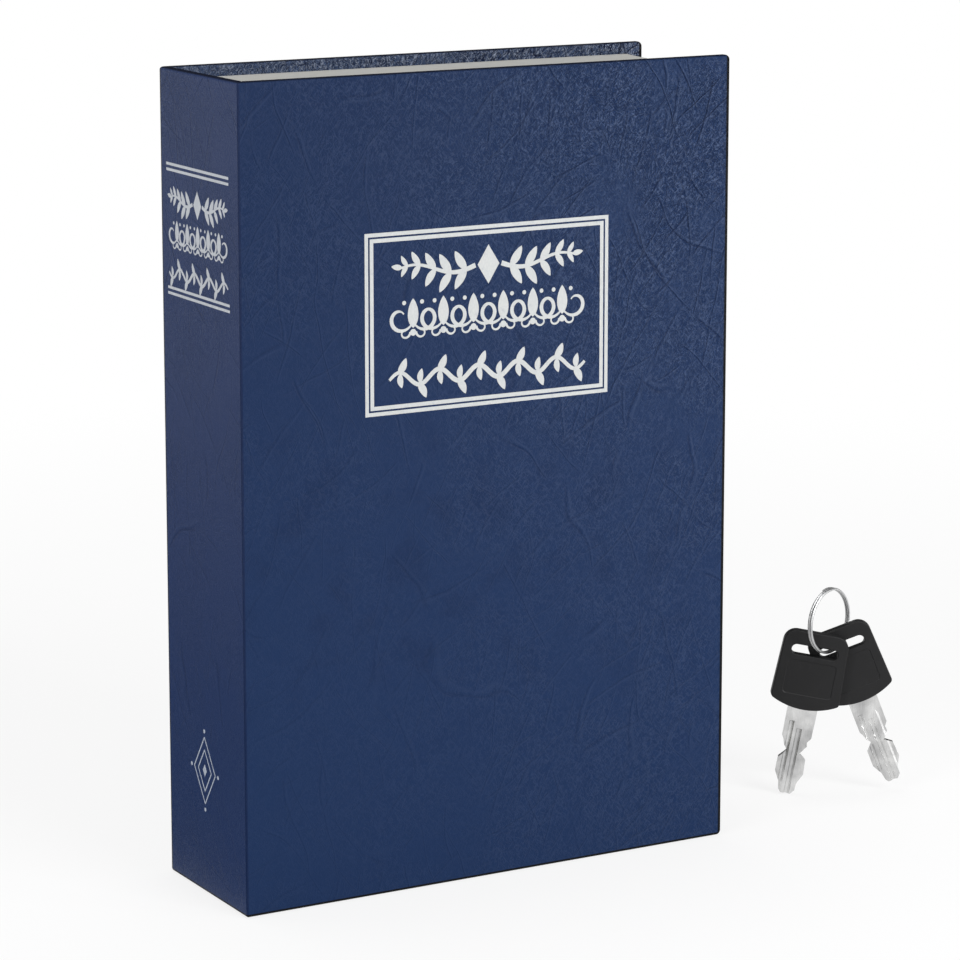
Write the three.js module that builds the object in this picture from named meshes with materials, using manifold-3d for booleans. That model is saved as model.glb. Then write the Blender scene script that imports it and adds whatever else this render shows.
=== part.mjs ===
// Book diversion safe: a hard-bound book case round a moulded page frame with a locking steel box inside.
// Sizes are in millimetres and angles in degrees. +Z is up, +X runs from the spine to the fore-edge
// and -Y is the front cover's side. The origin is at the foot of the back cover, half way along it
// and in the middle of its thickness. Two keys on a split ring stand beside the fore-edge.

import * as THREE from 'three'
import { mergeVertices } from 'three/addons/utils/BufferGeometryUtils.js'
import Module from 'manifold-3d'

const wasm = await Module()
wasm.setup()

// Driving dimensions of the book
const bookHeight = 240
const bookWidth = 162
const bookDepth = 52
const boardThick = 2
const skinThick = 0.5
const turnIn = 15
const coverCornerRadius = 1.5
const headSquare = 3.6
const foreSquare = 6
const foreHollow = 2.5

// Clearances and joins
const fitGap = 0.3
const coverGap = 0.4
const cutOverrun = 1
const weldOverlap = 0.1

// Linings
const pastedownThick = 0.4
const pastedownMargin = 5
const pastedownSpineMargin = 1.5

// Page frame
const pageWall = 2
const pageCornerRadius = 1.5
const bossSize = 9
const bossBottomWall = 0.5

// Steel box and lid
const hingeLane = 9
const headLane = 8.4
const foreLane = 7.5
const boxWall = 1
const rimWidth = 8
const lidThick = 1.2
const windowGap = 0.5

// Hinges of the lid
const barrelRadius = 1.8
const pinRadius = 0.9
const pinHeadRadius = 1.6
const pinHeadThick = 0.6
const leafThick = 1
const lidLeafWidth = 16
const boxLeafDepth = 13
const hingeLength = 40
const hingeInset = 38
const knuckleCount = 5
const lidRivetInset = 10
const boxRivetInset = 9
const rivetEndMargin = 7

// Rivets
const rivetShankRadius = 1.2
const rivetHeadRadius = 2.4
const rivetHeadThick = 0.7
const rivetTailRadius = 2
const rivetTailThick = 0.6

// Cam lock
const lockInset = 22
const bezelRadius = 11
const bezelThick = 1.5
const lockShankRadius = 9
const lockShankFlat = 8
const lockShankLength = 24.5
const plugRadius = 6
const plugHeadRadius = 7
const plugHeadThick = 1.2
const driveSize = 6.5
const driveLength = 1.3
const nutFlat = 12
const nutThick = 3
const camThick = 1.5
const camHubRadius = 8
const camArmWidth = 12
const camReach = 20
const camScrewRadius = 1.4
const camScrewHeadRadius = 5.2
const camScrewHeadThick = 2
const camScrewDepth = 2.4
const waferCount = 5
const waferThick = 0.8
const waferPitch = 2.8
const waferWidth = 6
const waferEnd = 0.5
const firstWaferDepth = 5

// Keeper of the cam
const bracketThick = 1.2
const bracketHeight = 18
const bracketLeg = 8.5
const bracketBase = 12

// Screws from the box into the page frame
const boxScrewRadius = 1.5
const boxScrewHeadRadius = 3
const boxScrewHeadThick = 2
const boxScrewSpread = 40

// Keys
const bladeLength = 28
const bladeHalfWidth = 4.7
const bladeThick = 2
const tangWidth = 6
const tangThick = 1.4
const tangLength = 10
const grooveWidth = 1.2
const grooveDepth = 0.5
const grooveOffset = 1.5
const bowTopWidth = 20.8
const bowBottomWidth = 22.1
const bowHeight = 22.4
const bowBulge = 2.9
const bowThick = 3.4
const bowTopRadius = 4
const bowBottomRadius = 1.2
const slotLength = 14.9
const slotHeight = 3.2
const slotDrop = 6.1
const panelWidth = 15.5
const panelHeight = 11
const panelDrop = 9.6
const panelDepth = 0.3
const panelRadius = 1
const frontKeyTilt = 10.5
const rearKeyTilt = -21.5

// Split ring
const ringRadius = 10.2
const ringWireRadius = 0.5
const ringTurnGap = 0.45
const ringTurns = 2
const ringPlaneTurn = 48
const pivotAcross = 4.66

// Where the front key's tip stands, measured from the foot of the front cover's free edge
const keyTipBeyond = 42.8
const keyTipBehind = 28.3
const keysTurn = -29.6

// Places that follow from the sizes above
const backCoverThick = boardThick + 2 * skinThick
const frontCoverThick = backCoverThick + pastedownThick
const backOuterY = backCoverThick / 2
const backInnerY = backOuterY - backCoverThick
const frontOuterY = backOuterY - bookDepth
const frontInnerY = frontOuterY + frontCoverThick
const spineOuterX = -bookWidth / 2
const spineInnerX = spineOuterX + backCoverThick
const foreX = bookWidth / 2
const pageFrontY = frontInnerY + coverGap
const pageLowZ = headSquare
const pageHighZ = bookHeight - headSquare
const pageForeX = foreX - foreSquare
const boxSpineX = spineInnerX + hingeLane
const boxForeX = pageForeX - foreHollow - foreLane
const boxLowZ = pageLowZ + headLane
const boxHighZ = pageHighZ - headLane
const boxScrewLength = headLane - pageWall
const boxMidX = (boxSpineX + boxForeX) / 2
const lidFrontY = pageFrontY + barrelRadius
const lidBackY = lidFrontY + lidThick
const boxFrontY = lidBackY + fitGap
const boxMidY = (boxFrontY + backInnerY) / 2
const hingeX = boxSpineX - barrelRadius - fitGap
const barrelBore = pinRadius + fitGap
const rivetSpread = hingeLength / 2 - rivetEndMargin
const lidSpineX = boxSpineX + fitGap
const lockX = boxForeX - lockInset
const lockZ = bookHeight / 2
const lockBackY = lidFrontY + lockShankLength
const camFrontY = lockBackY + fitGap
const camBackY = camFrontY + camThick
const flapEndY = frontOuterY + skinThick + fitGap
const coverEdgeX = spineOuterX + skinThick + fitGap
const keyTotal = bladeLength + bowBulge + bowHeight
const bowChord = bladeLength + bowBulge
const slotCentre = keyTotal - slotDrop

// Numbers of steps in round forms
const roundSteps = 24
const smallSteps = 12
const cornerSteps = 3
const hollowSteps = 10

// Solids from outlines and turned profiles

function material(name, color, roughness, metalness) {
  return new THREE.MeshStandardMaterial({ name, color, roughness, metalness })
}

function toSolid(geometry) {
  const bare = geometry.clone()
  bare.deleteAttribute('normal')
  bare.deleteAttribute('uv')
  const merged = mergeVertices(bare)
  return new wasm.Manifold(
    new wasm.Mesh({
      numProp: 3,
      vertProperties: new Float32Array(merged.attributes.position.array),
      triVerts: new Uint32Array(merged.index.array),
    }),
  )
}

function toGeometry(solid) {
  const mesh = solid.getMesh()
  const geometry = new THREE.BufferGeometry()
  geometry.setAttribute('position', new THREE.BufferAttribute(new Float32Array(mesh.vertProperties), 3))
  geometry.setIndex(new THREE.BufferAttribute(new Uint32Array(mesh.triVerts), 1))
  const flat = geometry.toNonIndexed()
  flat.computeVertexNormals()
  return flat
}

// Sets a geometry's two end planes along one axis, so that neighbours share a plane exactly
function spanAxis(geometry, axis, low, high) {
  geometry.computeBoundingBox()
  const { min, max } = geometry.boundingBox
  const middle = (min.getComponent(axis) + max.getComponent(axis)) / 2
  const position = geometry.attributes.position
  for (let i = 0; i < position.count; i += 1) {
    position.setComponent(i, axis, position.getComponent(i, axis) < middle ? low : high)
  }
  return geometry
}

function block(x0, x1, y0, y1, z0, z1) {
  const geometry = new THREE.BoxGeometry(1, 1, 1)
  spanAxis(geometry, 0, x0, x1)
  spanAxis(geometry, 1, y0, y1)
  spanAxis(geometry, 2, z0, z1)
  return toSolid(geometry)
}

// A plate whose outline is drawn in X and Z and whose thickness runs from y0 to y1
function plateY(shape, y0, y1, curveSegments = cornerSteps) {
  const geometry = new THREE.ExtrudeGeometry(shape, { depth: 1, bevelEnabled: false, curveSegments })
  geometry.rotateX(Math.PI / 2)
  return toSolid(spanAxis(geometry, 1, y0, y1))
}

// A prism whose outline is drawn in X and Y and whose height runs from z0 to z1
function prismZ(shape, z0, z1, curveSegments = cornerSteps) {
  const geometry = new THREE.ExtrudeGeometry(shape, { depth: 1, bevelEnabled: false, curveSegments })
  return toSolid(spanAxis(geometry, 2, z0, z1))
}

// Round bars whose axis runs along Y, X or Z
function rodY(x, z, radius, y0, y1, steps = roundSteps) {
  const geometry = new THREE.CylinderGeometry(radius, radius, 1, steps)
  geometry.translate(x, 0, z)
  return toSolid(spanAxis(geometry, 1, y0, y1))
}

function rodX(y, z, radius, x0, x1, steps = smallSteps) {
  const geometry = new THREE.CylinderGeometry(radius, radius, 1, steps)
  geometry.rotateZ(Math.PI / 2)
  geometry.translate(0, y, z)
  return toSolid(spanAxis(geometry, 0, x0, x1))
}

function rodZ(x, y, radius, z0, z1, steps = smallSteps) {
  const geometry = new THREE.CylinderGeometry(radius, radius, 1, steps)
  geometry.rotateX(Math.PI / 2)
  geometry.translate(x, y, 0)
  return toSolid(spanAxis(geometry, 2, z0, z1))
}

// A rectangle in X and Z whose two fore-edge corners are rounded
function coverOutline(x0, x1, z0, z1, radius) {
  const shape = new THREE.Shape()
  shape.moveTo(x0, z0)
  shape.lineTo(x1 - radius, z0)
  shape.absarc(x1 - radius, z0 + radius, radius, -Math.PI / 2, 0, false)
  shape.absarc(x1 - radius, z1 - radius, radius, 0, Math.PI / 2, false)
  shape.lineTo(x0, z1)
  shape.closePath()
  return shape
}

function roundedRectangle(x0, x1, z0, z1, radius) {
  const shape = new THREE.Shape()
  shape.absarc(x1 - radius, z0 + radius, radius, -Math.PI / 2, 0, false)
  shape.absarc(x1 - radius, z1 - radius, radius, 0, Math.PI / 2, false)
  shape.absarc(x0 + radius, z1 - radius, radius, Math.PI / 2, Math.PI, false)
  shape.absarc(x0 + radius, z0 + radius, radius, Math.PI, Math.PI * 1.5, false)
  shape.closePath()
  return shape
}

const part = new THREE.Group()
part.name = 'book_safe'

const leatherette = () => material('leatherette', 0x283a5c, 0.5, 0)
const greyboard = () => material('greyboard', 0x8c857a, 0.95, 0)
const paper = () => material('paper', 0x1d2230, 0.9, 0)
const pagePlastic = () => material('page_plastic', 0xaeaca8, 0.7, 0)
const blackSteel = () => material('black_steel', 0x18191b, 0.55, 0.3)
const brightSteel = () => material('bright_steel', 0xc2c2c4, 0.25, 1)
const bowPlastic = () => material('bow_plastic', 0x2c2c2d, 0.45, 0)
const brassMetal = () => material('brass', 0xb89a55, 0.35, 1)

function add(name, solid, finish, parent = part) {
  const mesh = new THREE.Mesh(solid.isBufferGeometry ? solid : toGeometry(solid), finish)
  mesh.name = name
  parent.add(mesh)
  return mesh
}

// Book case

const boardCornerRadius = coverCornerRadius - skinThick
const frontBoardBackY = frontOuterY + skinThick + boardThick
const skinBackY = frontBoardBackY + skinThick
const spineBoardEndY = frontInnerY + coverGap

function frontBoardSolid() {
  const outline = coverOutline(
    coverEdgeX, foreX - skinThick,
    skinThick, bookHeight - skinThick, boardCornerRadius,
  )
  return plateY(outline, frontOuterY + skinThick, frontBoardBackY)
}

// The skin wraps the board and turns in on three sides; at the spine it runs on into the hinge crease
function frontSkinSolid() {
  const outline = coverOutline(spineOuterX, foreX, 0, bookHeight, coverCornerRadius)
  const slab = plateY(outline, frontOuterY, skinBackY)
  const spineEdge = block(
    spineOuterX - cutOverrun, coverEdgeX,
    frontOuterY + skinThick, skinBackY + cutOverrun,
    -cutOverrun, bookHeight + cutOverrun,
  )
  const window = block(
    spineOuterX - cutOverrun, foreX - turnIn,
    frontBoardBackY - weldOverlap, skinBackY + cutOverrun,
    turnIn, bookHeight - turnIn,
  )
  return slab.subtract(spineEdge).subtract(window).subtract(frontBoardSolid())
}

// The pastedown dips onto the board inside the turn-ins and laps over them
function frontPastedownSolid() {
  const dip = block(
    coverEdgeX + pastedownSpineMargin, foreX - turnIn - fitGap,
    frontBoardBackY, skinBackY + weldOverlap,
    turnIn + fitGap, bookHeight - turnIn - fitGap,
  )
  const sheet = block(
    coverEdgeX + pastedownSpineMargin, foreX - pastedownMargin,
    skinBackY, skinBackY + pastedownThick,
    pastedownMargin, bookHeight - pastedownMargin,
  )
  return dip.add(sheet)
}

function spineBoardSolid() {
  return block(
    spineOuterX + skinThick, spineInnerX - skinThick,
    spineBoardEndY, backInnerY - fitGap,
    skinThick, bookHeight - skinThick,
  )
}

function backBoardSolid() {
  const outline = coverOutline(
    spineInnerX + fitGap, foreX - skinThick,
    skinThick, bookHeight - skinThick, boardCornerRadius,
  )
  return plateY(outline, backInnerY + skinThick, backOuterY - skinThick)
}

// The outline of spine and back seen from above, with the rear corner of the spine rounded
function caseOutline() {
  const radius = coverCornerRadius
  const shape = new THREE.Shape()
  shape.moveTo(spineOuterX, flapEndY)
  shape.lineTo(spineOuterX + skinThick, flapEndY)
  shape.lineTo(spineOuterX + skinThick, spineBoardEndY)
  shape.lineTo(spineInnerX, spineBoardEndY)
  shape.lineTo(spineInnerX, backInnerY)
  shape.lineTo(foreX, backInnerY)
  shape.lineTo(foreX, backOuterY)
  shape.lineTo(spineOuterX + radius, backOuterY)
  shape.absarc(spineOuterX + radius, backOuterY - radius, radius, Math.PI / 2, Math.PI, false)
  shape.closePath()
  return shape
}

function caseSkinSolid() {
  const reach = bookDepth + cutOverrun
  const silhouette = plateY(
    coverOutline(spineOuterX - cutOverrun, foreX, 0, bookHeight, coverCornerRadius),
    backOuterY - reach, backOuterY + cutOverrun,
  )
  const backWindow = block(
    spineInnerX - skinThick, foreX - turnIn,
    backInnerY - cutOverrun, backInnerY + skinThick,
    turnIn, bookHeight - turnIn,
  )
  const spineWindow = block(
    spineInnerX - skinThick, spineInnerX + cutOverrun,
    spineBoardEndY - cutOverrun, backInnerY,
    turnIn, bookHeight - turnIn,
  )
  return prismZ(caseOutline(), 0, bookHeight)
    .intersect(silhouette)
    .subtract(spineBoardSolid())
    .subtract(backBoardSolid())
    .subtract(backWindow)
    .subtract(spineWindow)
}

function caseLiningSolid() {
  const back = block(
    spineInnerX - skinThick, foreX - turnIn - fitGap,
    backInnerY, backInnerY + skinThick,
    turnIn + fitGap, bookHeight - turnIn - fitGap,
  )
  const spine = block(
    spineInnerX - skinThick, spineInnerX,
    spineBoardEndY, backInnerY + skinThick,
    turnIn + fitGap, bookHeight - turnIn - fitGap,
  )
  return back.add(spine)
}

add('front_board', frontBoardSolid(), greyboard())
add('front_cover_skin', frontSkinSolid(), leatherette())
add('front_pastedown', frontPastedownSolid(), paper())
add('spine_board', spineBoardSolid(), greyboard())
add('back_board', backBoardSolid(), greyboard())
add('case_skin', caseSkinSolid(), leatherette())
add('case_lining', caseLiningSolid(), paper())

// Page frame: an outer wall with a front flange, open at the back, bossed for the box's screws

function pageOutline(inset) {
  const halfChord = (backInnerY - pageFrontY) / 2
  const midY = (backInnerY + pageFrontY) / 2
  const hollowRadius = (halfChord ** 2 + foreHollow ** 2) / (2 * foreHollow)
  const centreX = pageForeX - foreHollow + hollowRadius
  const arcRadius = hollowRadius + inset
  const corner = pageCornerRadius
  const lowY = pageFrontY + inset
  const highY = backInnerY + (inset > 0 ? cutOverrun : 0)
  const startY = lowY + corner
  const endY = backInnerY - inset - corner
  const angleAt = (y) => Math.asin((y - midY) / arcRadius)
  const shape = new THREE.Shape()
  shape.moveTo(spineInnerX + inset, lowY)
  const frontX = centreX - arcRadius * Math.cos(angleAt(startY))
  shape.lineTo(frontX - corner, lowY)
  shape.quadraticCurveTo(frontX, lowY, frontX, startY)
  shape.absarc(centreX, midY, arcRadius, Math.PI - angleAt(startY), Math.PI - angleAt(endY), true)
  const backX = centreX - arcRadius * Math.cos(angleAt(endY))
  if (inset > 0) {
    shape.lineTo(backX, highY)
  } else {
    shape.quadraticCurveTo(backX, highY, backX - corner, highY)
  }
  shape.lineTo(spineInnerX + inset, highY)
  shape.closePath()
  return shape
}

const windowSpineX = hingeX - barrelRadius - coverGap
const windowForeX = boxForeX + windowGap
const windowLowZ = boxLowZ - windowGap
const windowHighZ = boxHighZ + windowGap
const screwPlaces = [
  { name: 'upper_spine_side_screw', x: boxMidX - boxScrewSpread, top: true },
  { name: 'upper_fore_side_screw', x: boxMidX + boxScrewSpread, top: true },
  { name: 'lower_spine_side_screw', x: boxMidX - boxScrewSpread, top: false },
  { name: 'lower_fore_side_screw', x: boxMidX + boxScrewSpread, top: false },
]

function screwHole({ x, top }) {
  const radius = boxScrewRadius + fitGap
  return top
    ? rodZ(x, boxMidY, radius, boxHighZ - boxWall - cutOverrun, pageHighZ - pageWall - bossBottomWall)
    : rodZ(x, boxMidY, radius, pageLowZ + pageWall + bossBottomWall, boxLowZ + boxWall + cutOverrun)
}

function pageFrameSolid() {
  let frame = prismZ(pageOutline(0), pageLowZ, pageHighZ, hollowSteps)
    .subtract(prismZ(pageOutline(pageWall), pageLowZ + pageWall, pageHighZ - pageWall, hollowSteps))
    .subtract(block(
      windowSpineX, windowForeX,
      pageFrontY - cutOverrun, pageFrontY + pageWall + cutOverrun,
      windowLowZ, windowHighZ,
    ))
  for (const place of screwPlaces) {
    const z0 = place.top ? boxHighZ : pageLowZ + pageWall - weldOverlap
    const z1 = place.top ? pageHighZ - pageWall + weldOverlap : boxLowZ
    const half = bossSize / 2
    frame = frame.add(block(place.x - half, place.x + half, boxMidY - half, boxMidY + half, z0, z1))
  }
  for (const place of screwPlaces) {
    frame = frame.subtract(screwHole(place))
  }
  return frame
}

add('page_frame', pageFrameSolid(), pagePlastic())

// Hinge places along the lid, and the rivets that hold the leaves

const hinges = [
  { name: 'lower_hinge', z: boxLowZ + hingeInset },
  { name: 'upper_hinge', z: boxHighZ - hingeInset },
]
const rivetSides = [
  { name: 'low', offset: -rivetSpread },
  { name: 'high', offset: rivetSpread },
]
const lidRivetX = hingeX + lidRivetInset
const boxRivetY = lidFrontY + boxRivetInset
const boxRivetX = boxSpineX
const rivetHole = rivetShankRadius + fitGap

// Steel box: folded walls and back, with an inward rim on three sides of its mouth

const bracketFrontY = lockBackY - fitGap - bracketBase
const bracketRivetY = bracketFrontY + bracketBase / 2 - bracketThick / 2
const bracketRivetOffset = bracketHeight / 4
const boxInnerForeX = boxForeX - boxWall

function safeBoxSolid() {
  const tray = block(boxSpineX, boxForeX, boxFrontY, backInnerY, boxLowZ, boxHighZ)
  const inside = block(
    boxSpineX + boxWall, boxInnerForeX,
    boxFrontY + boxWall, backInnerY - boxWall,
    boxLowZ + boxWall, boxHighZ - boxWall,
  )
  const mouth = block(
    boxSpineX + boxWall, boxForeX - rimWidth - boxWall,
    boxFrontY - cutOverrun, boxFrontY + boxWall + cutOverrun,
    boxLowZ + boxWall + rimWidth, boxHighZ - boxWall - rimWidth,
  )
  let box = tray.subtract(inside).subtract(mouth)
  for (const place of screwPlaces) {
    box = box.subtract(screwHole(place))
  }
  for (const hinge of hinges) {
    for (const side of rivetSides) {
      const z = hinge.z + side.offset
      box = box.subtract(
        rodX(boxRivetY, z, rivetHole, boxRivetX - cutOverrun, boxRivetX + boxWall + cutOverrun),
      )
    }
  }
  for (const side of [-1, 1]) {
    box = box.subtract(rodX(
      bracketRivetY, lockZ + side * bracketRivetOffset, rivetHole,
      boxInnerForeX - cutOverrun, boxForeX + cutOverrun,
    ))
  }
  return box
}

add('safe_box', safeBoxSolid(), blackSteel())

// Lid: a flat plate over the box's rim, with a flatted hole for the lock

function lidSolid() {
  const plate = block(lidSpineX, boxForeX, lidFrontY, lidBackY, boxLowZ, boxHighZ)
  const flat = lockShankFlat + fitGap
  const hole = rodY(lockX, lockZ, lockShankRadius + fitGap, lidFrontY - cutOverrun, lidBackY + cutOverrun)
    .intersect(block(
      lockX - bezelRadius, lockX + bezelRadius,
      lidFrontY - cutOverrun, lidBackY + cutOverrun,
      lockZ - flat, lockZ + flat,
    ))
  let lid = plate.subtract(hole)
  for (const hinge of hinges) {
    for (const side of rivetSides) {
      lid = lid.subtract(rodY(
        lidRivetX, hinge.z + side.offset, rivetHole,
        lidFrontY - cutOverrun, lidBackY + cutOverrun, smallSteps,
      ))
    }
  }
  return lid
}

add('safe_lid', lidSolid(), blackSteel())

// Hinges: knuckles alternate between the box's leaf and the lid's leaf

const knuckleLength = (hingeLength - (knuckleCount - 1) * fitGap) / knuckleCount

function knuckleSpan(hinge, index) {
  const z0 = hinge.z - hingeLength / 2 + index * (knuckleLength + fitGap)
  return [z0, z0 + knuckleLength]
}

// Keeps the places where a leaf has its own knuckles and clears the rest of the barrel's path
function leafWithKnuckles(leaf, hinge, keepsEven) {
  let solid = leaf
  for (let index = 0; index < knuckleCount; index += 1) {
    const [z0, z1] = knuckleSpan(hinge, index)
    const own = (index % 2 === 0) === keepsEven
    const barrel = own
      ? rodZ(hingeX, lidFrontY, barrelRadius, z0, z1)
      : rodZ(hingeX, lidFrontY, barrelRadius + fitGap, z0 - fitGap, z1 + fitGap)
    solid = own ? solid.add(barrel) : solid.subtract(barrel)
  }
  const bore = rodZ(
    hingeX, lidFrontY, barrelBore,
    hinge.z - hingeLength / 2 - cutOverrun, hinge.z + hingeLength / 2 + cutOverrun,
  )
  return solid.subtract(bore)
}

function boxLeafSolid(hinge) {
  let leaf = block(
    boxSpineX - leafThick, boxSpineX,
    lidFrontY, lidFrontY + boxLeafDepth,
    hinge.z - hingeLength / 2, hinge.z + hingeLength / 2,
  )
  for (const side of rivetSides) {
    leaf = leaf.subtract(rodX(
      boxRivetY, hinge.z + side.offset, rivetHole,
      boxSpineX - leafThick - cutOverrun, boxSpineX + cutOverrun,
    ))
  }
  return leafWithKnuckles(leaf, hinge, true)
}

function lidLeafSolid(hinge) {
  let leaf = block(
    hingeX, hingeX + lidLeafWidth,
    lidFrontY - leafThick, lidFrontY,
    hinge.z - hingeLength / 2, hinge.z + hingeLength / 2,
  )
  for (const side of rivetSides) {
    leaf = leaf.subtract(rodY(
      lidRivetX, hinge.z + side.offset, rivetHole,
      lidFrontY - leafThick - cutOverrun, lidFrontY + cutOverrun, smallSteps,
    ))
  }
  return leafWithKnuckles(leaf, hinge, false)
}

function hingePinSolid(hinge) {
  const top = hinge.z + hingeLength / 2
  return rodZ(hingeX, lidFrontY, pinRadius, hinge.z - hingeLength / 2, top + weldOverlap)
    .add(rodZ(hingeX, lidFrontY, pinHeadRadius, top, top + pinHeadThick))
}

// A rivet turned about Z, with the head's seat at height 0 and the tail's seat at -grip
function rivetGeometry(grip) {
  const profile = [
    [0, -grip - rivetTailThick],
    [rivetTailRadius, -grip - rivetTailThick],
    [rivetTailRadius, -grip],
    [rivetShankRadius, -grip],
    [rivetShankRadius, 0],
    [rivetHeadRadius, 0],
    [rivetHeadRadius * Math.cos(Math.PI / 6), rivetHeadThick / 2],
    [rivetHeadRadius / 2, rivetHeadThick],
    [0, rivetHeadThick],
  ].map(([x, y]) => new THREE.Vector2(x, y))
  const geometry = new THREE.LatheGeometry(profile, smallSteps)
  geometry.rotateX(Math.PI / 2)
  return geometry
}

// Sets a rivet with its head towards -Y, -X or another side, by turning it from +Z
function addRivet(name, grip, x, y, z, turnX, turnY) {
  const geometry = rivetGeometry(grip)
  geometry.rotateX(turnX)
  geometry.rotateY(turnY)
  geometry.translate(x, y, z)
  return add(name, toGeometry(toSolid(geometry)), brightSteel())
}

for (const hinge of hinges) {
  add(`${hinge.name}_box_leaf`, boxLeafSolid(hinge), blackSteel())
  add(`${hinge.name}_lid_leaf`, lidLeafSolid(hinge), blackSteel())
  add(`${hinge.name}_pin`, hingePinSolid(hinge), brightSteel())
  for (const side of rivetSides) {
    const z = hinge.z + side.offset
    const lidRivet = `${hinge.name}_lid_rivet_${side.name}`
    addRivet(lidRivet, leafThick + lidThick, lidRivetX, lidFrontY - leafThick, z, Math.PI / 2, 0)
    const boxRivet = `${hinge.name}_box_rivet_${side.name}`
    addRivet(boxRivet, leafThick + boxWall, boxSpineX - leafThick, boxRivetY, z, 0, -Math.PI / 2)
  }
}

// Keeper: an angle riveted to the fore-edge wall, whose leg stands in front of the turned cam

function strikeBracketSolid() {
  const base = block(
    boxInnerForeX - bracketThick, boxInnerForeX,
    bracketFrontY, bracketFrontY + bracketBase,
    lockZ - bracketHeight / 2, lockZ + bracketHeight / 2,
  )
  const leg = block(
    boxInnerForeX - bracketLeg, boxInnerForeX,
    bracketFrontY + bracketBase - bracketThick, bracketFrontY + bracketBase,
    lockZ - bracketHeight / 2, lockZ + bracketHeight / 2,
  )
  let bracket = base.add(leg)
  for (const side of [-1, 1]) {
    bracket = bracket.subtract(rodX(
      bracketRivetY, lockZ + side * bracketRivetOffset, rivetHole,
      boxInnerForeX - bracketThick - cutOverrun, boxForeX + cutOverrun,
    ))
  }
  return bracket
}

add('strike_bracket', strikeBracketSolid(), blackSteel())
for (const side of rivetSides) {
  const z = lockZ + Math.sign(side.offset) * bracketRivetOffset
  const grip = bracketThick + boxWall
  addRivet(`strike_rivet_${side.name}`, grip, boxInnerForeX - bracketThick, bracketRivetY, z, 0, -Math.PI / 2)
}

// Screws that hold the box in the page frame

function lowHigh(a, b) {
  return [Math.min(a, b), Math.max(a, b)]
}

function boxScrewSolid({ x, top }) {
  const seat = top ? boxHighZ - boxWall : boxLowZ + boxWall
  const out = top ? 1 : -1
  const shankEnds = lowHigh(seat - out * weldOverlap, seat + out * boxScrewLength)
  const headEnds = lowHigh(seat - out * boxScrewHeadThick, seat)
  return rodZ(x, boxMidY, boxScrewRadius, ...shankEnds)
    .add(rodZ(x, boxMidY, boxScrewHeadRadius, ...headEnds))
}

for (const place of screwPlaces) {
  add(place.name, boxScrewSolid(place), brightSteel())
}

// Cam lock

const bezelFrontY = lidFrontY - bezelThick
const keywayWidth = bladeThick + 2 * fitGap
const keywayLength = 2 * (bladeHalfWidth + fitGap)
const keywayDepth = firstWaferDepth + waferCount * waferPitch + waferThick

function lockBodySolid() {
  const shank = rodY(lockX, lockZ, lockShankRadius, lidFrontY - weldOverlap, lockBackY)
    .intersect(block(
      lockX - bezelRadius, lockX + bezelRadius,
      bezelFrontY, lockBackY,
      lockZ - lockShankFlat, lockZ + lockShankFlat,
    ))
  return rodY(lockX, lockZ, bezelRadius, bezelFrontY, lidFrontY)
    .add(shank)
    .subtract(rodY(lockX, lockZ, plugRadius + fitGap, bezelFrontY - cutOverrun, lockBackY + cutOverrun))
    .subtract(rodY(
      lockX, lockZ, plugHeadRadius + fitGap,
      bezelFrontY - cutOverrun, bezelFrontY + plugHeadThick + fitGap,
    ))
}

function lockNutSolid() {
  const corner = nutFlat / Math.cos(Math.PI / 6)
  const nutBackY = lidBackY + nutThick
  return rodY(lockX, lockZ, corner, lidBackY, nutBackY, 6)
    .subtract(rodY(lockX, lockZ, lockShankRadius + fitGap, lidBackY - cutOverrun, nutBackY + cutOverrun))
}

function waferFrontY(index) {
  return bezelFrontY + firstWaferDepth + index * waferPitch
}

// At rest the keyway lies level, as it does when the lock is open
function lockPlugSolid() {
  const drive = driveSize / 2
  let plug = rodY(lockX, lockZ, plugRadius, bezelFrontY, camFrontY)
    .add(rodY(lockX, lockZ, plugHeadRadius, bezelFrontY, bezelFrontY + plugHeadThick))
    .add(block(
      lockX - drive, lockX + drive,
      camFrontY - weldOverlap, camFrontY + driveLength,
      lockZ - drive, lockZ + drive,
    ))
  plug = plug.subtract(block(
    lockX - keywayLength / 2, lockX + keywayLength / 2,
    bezelFrontY - cutOverrun, bezelFrontY + keywayDepth,
    lockZ - keywayWidth / 2, lockZ + keywayWidth / 2,
  ))
  for (let index = 0; index < waferCount; index += 1) {
    plug = plug.subtract(block(
      lockX - plugRadius - cutOverrun, lockX + plugRadius + cutOverrun,
      waferFrontY(index) - fitGap, waferFrontY(index) + waferThick + fitGap,
      lockZ - waferWidth / 2 - fitGap, lockZ + waferWidth / 2 + fitGap,
    ))
  }
  const screwBore = rodY(
    lockX, lockZ, camScrewRadius + fitGap,
    camBackY - camScrewDepth - fitGap, camBackY + cutOverrun, smallSteps,
  )
  return plug.subtract(screwBore)
}

function waferSolid(index) {
  const y0 = waferFrontY(index)
  const half = plugRadius * Math.cos(Math.asin(waferWidth / 2 / plugRadius))
  return block(
    lockX - half, lockX + half, y0, y0 + waferThick, lockZ - waferWidth / 2, lockZ + waferWidth / 2,
  ).subtract(block(
    lockX - half + waferEnd, lockX + half - waferEnd,
    y0 - cutOverrun, y0 + waferThick + cutOverrun,
    lockZ - keywayWidth / 2, lockZ + keywayWidth / 2,
  ))
}

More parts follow.
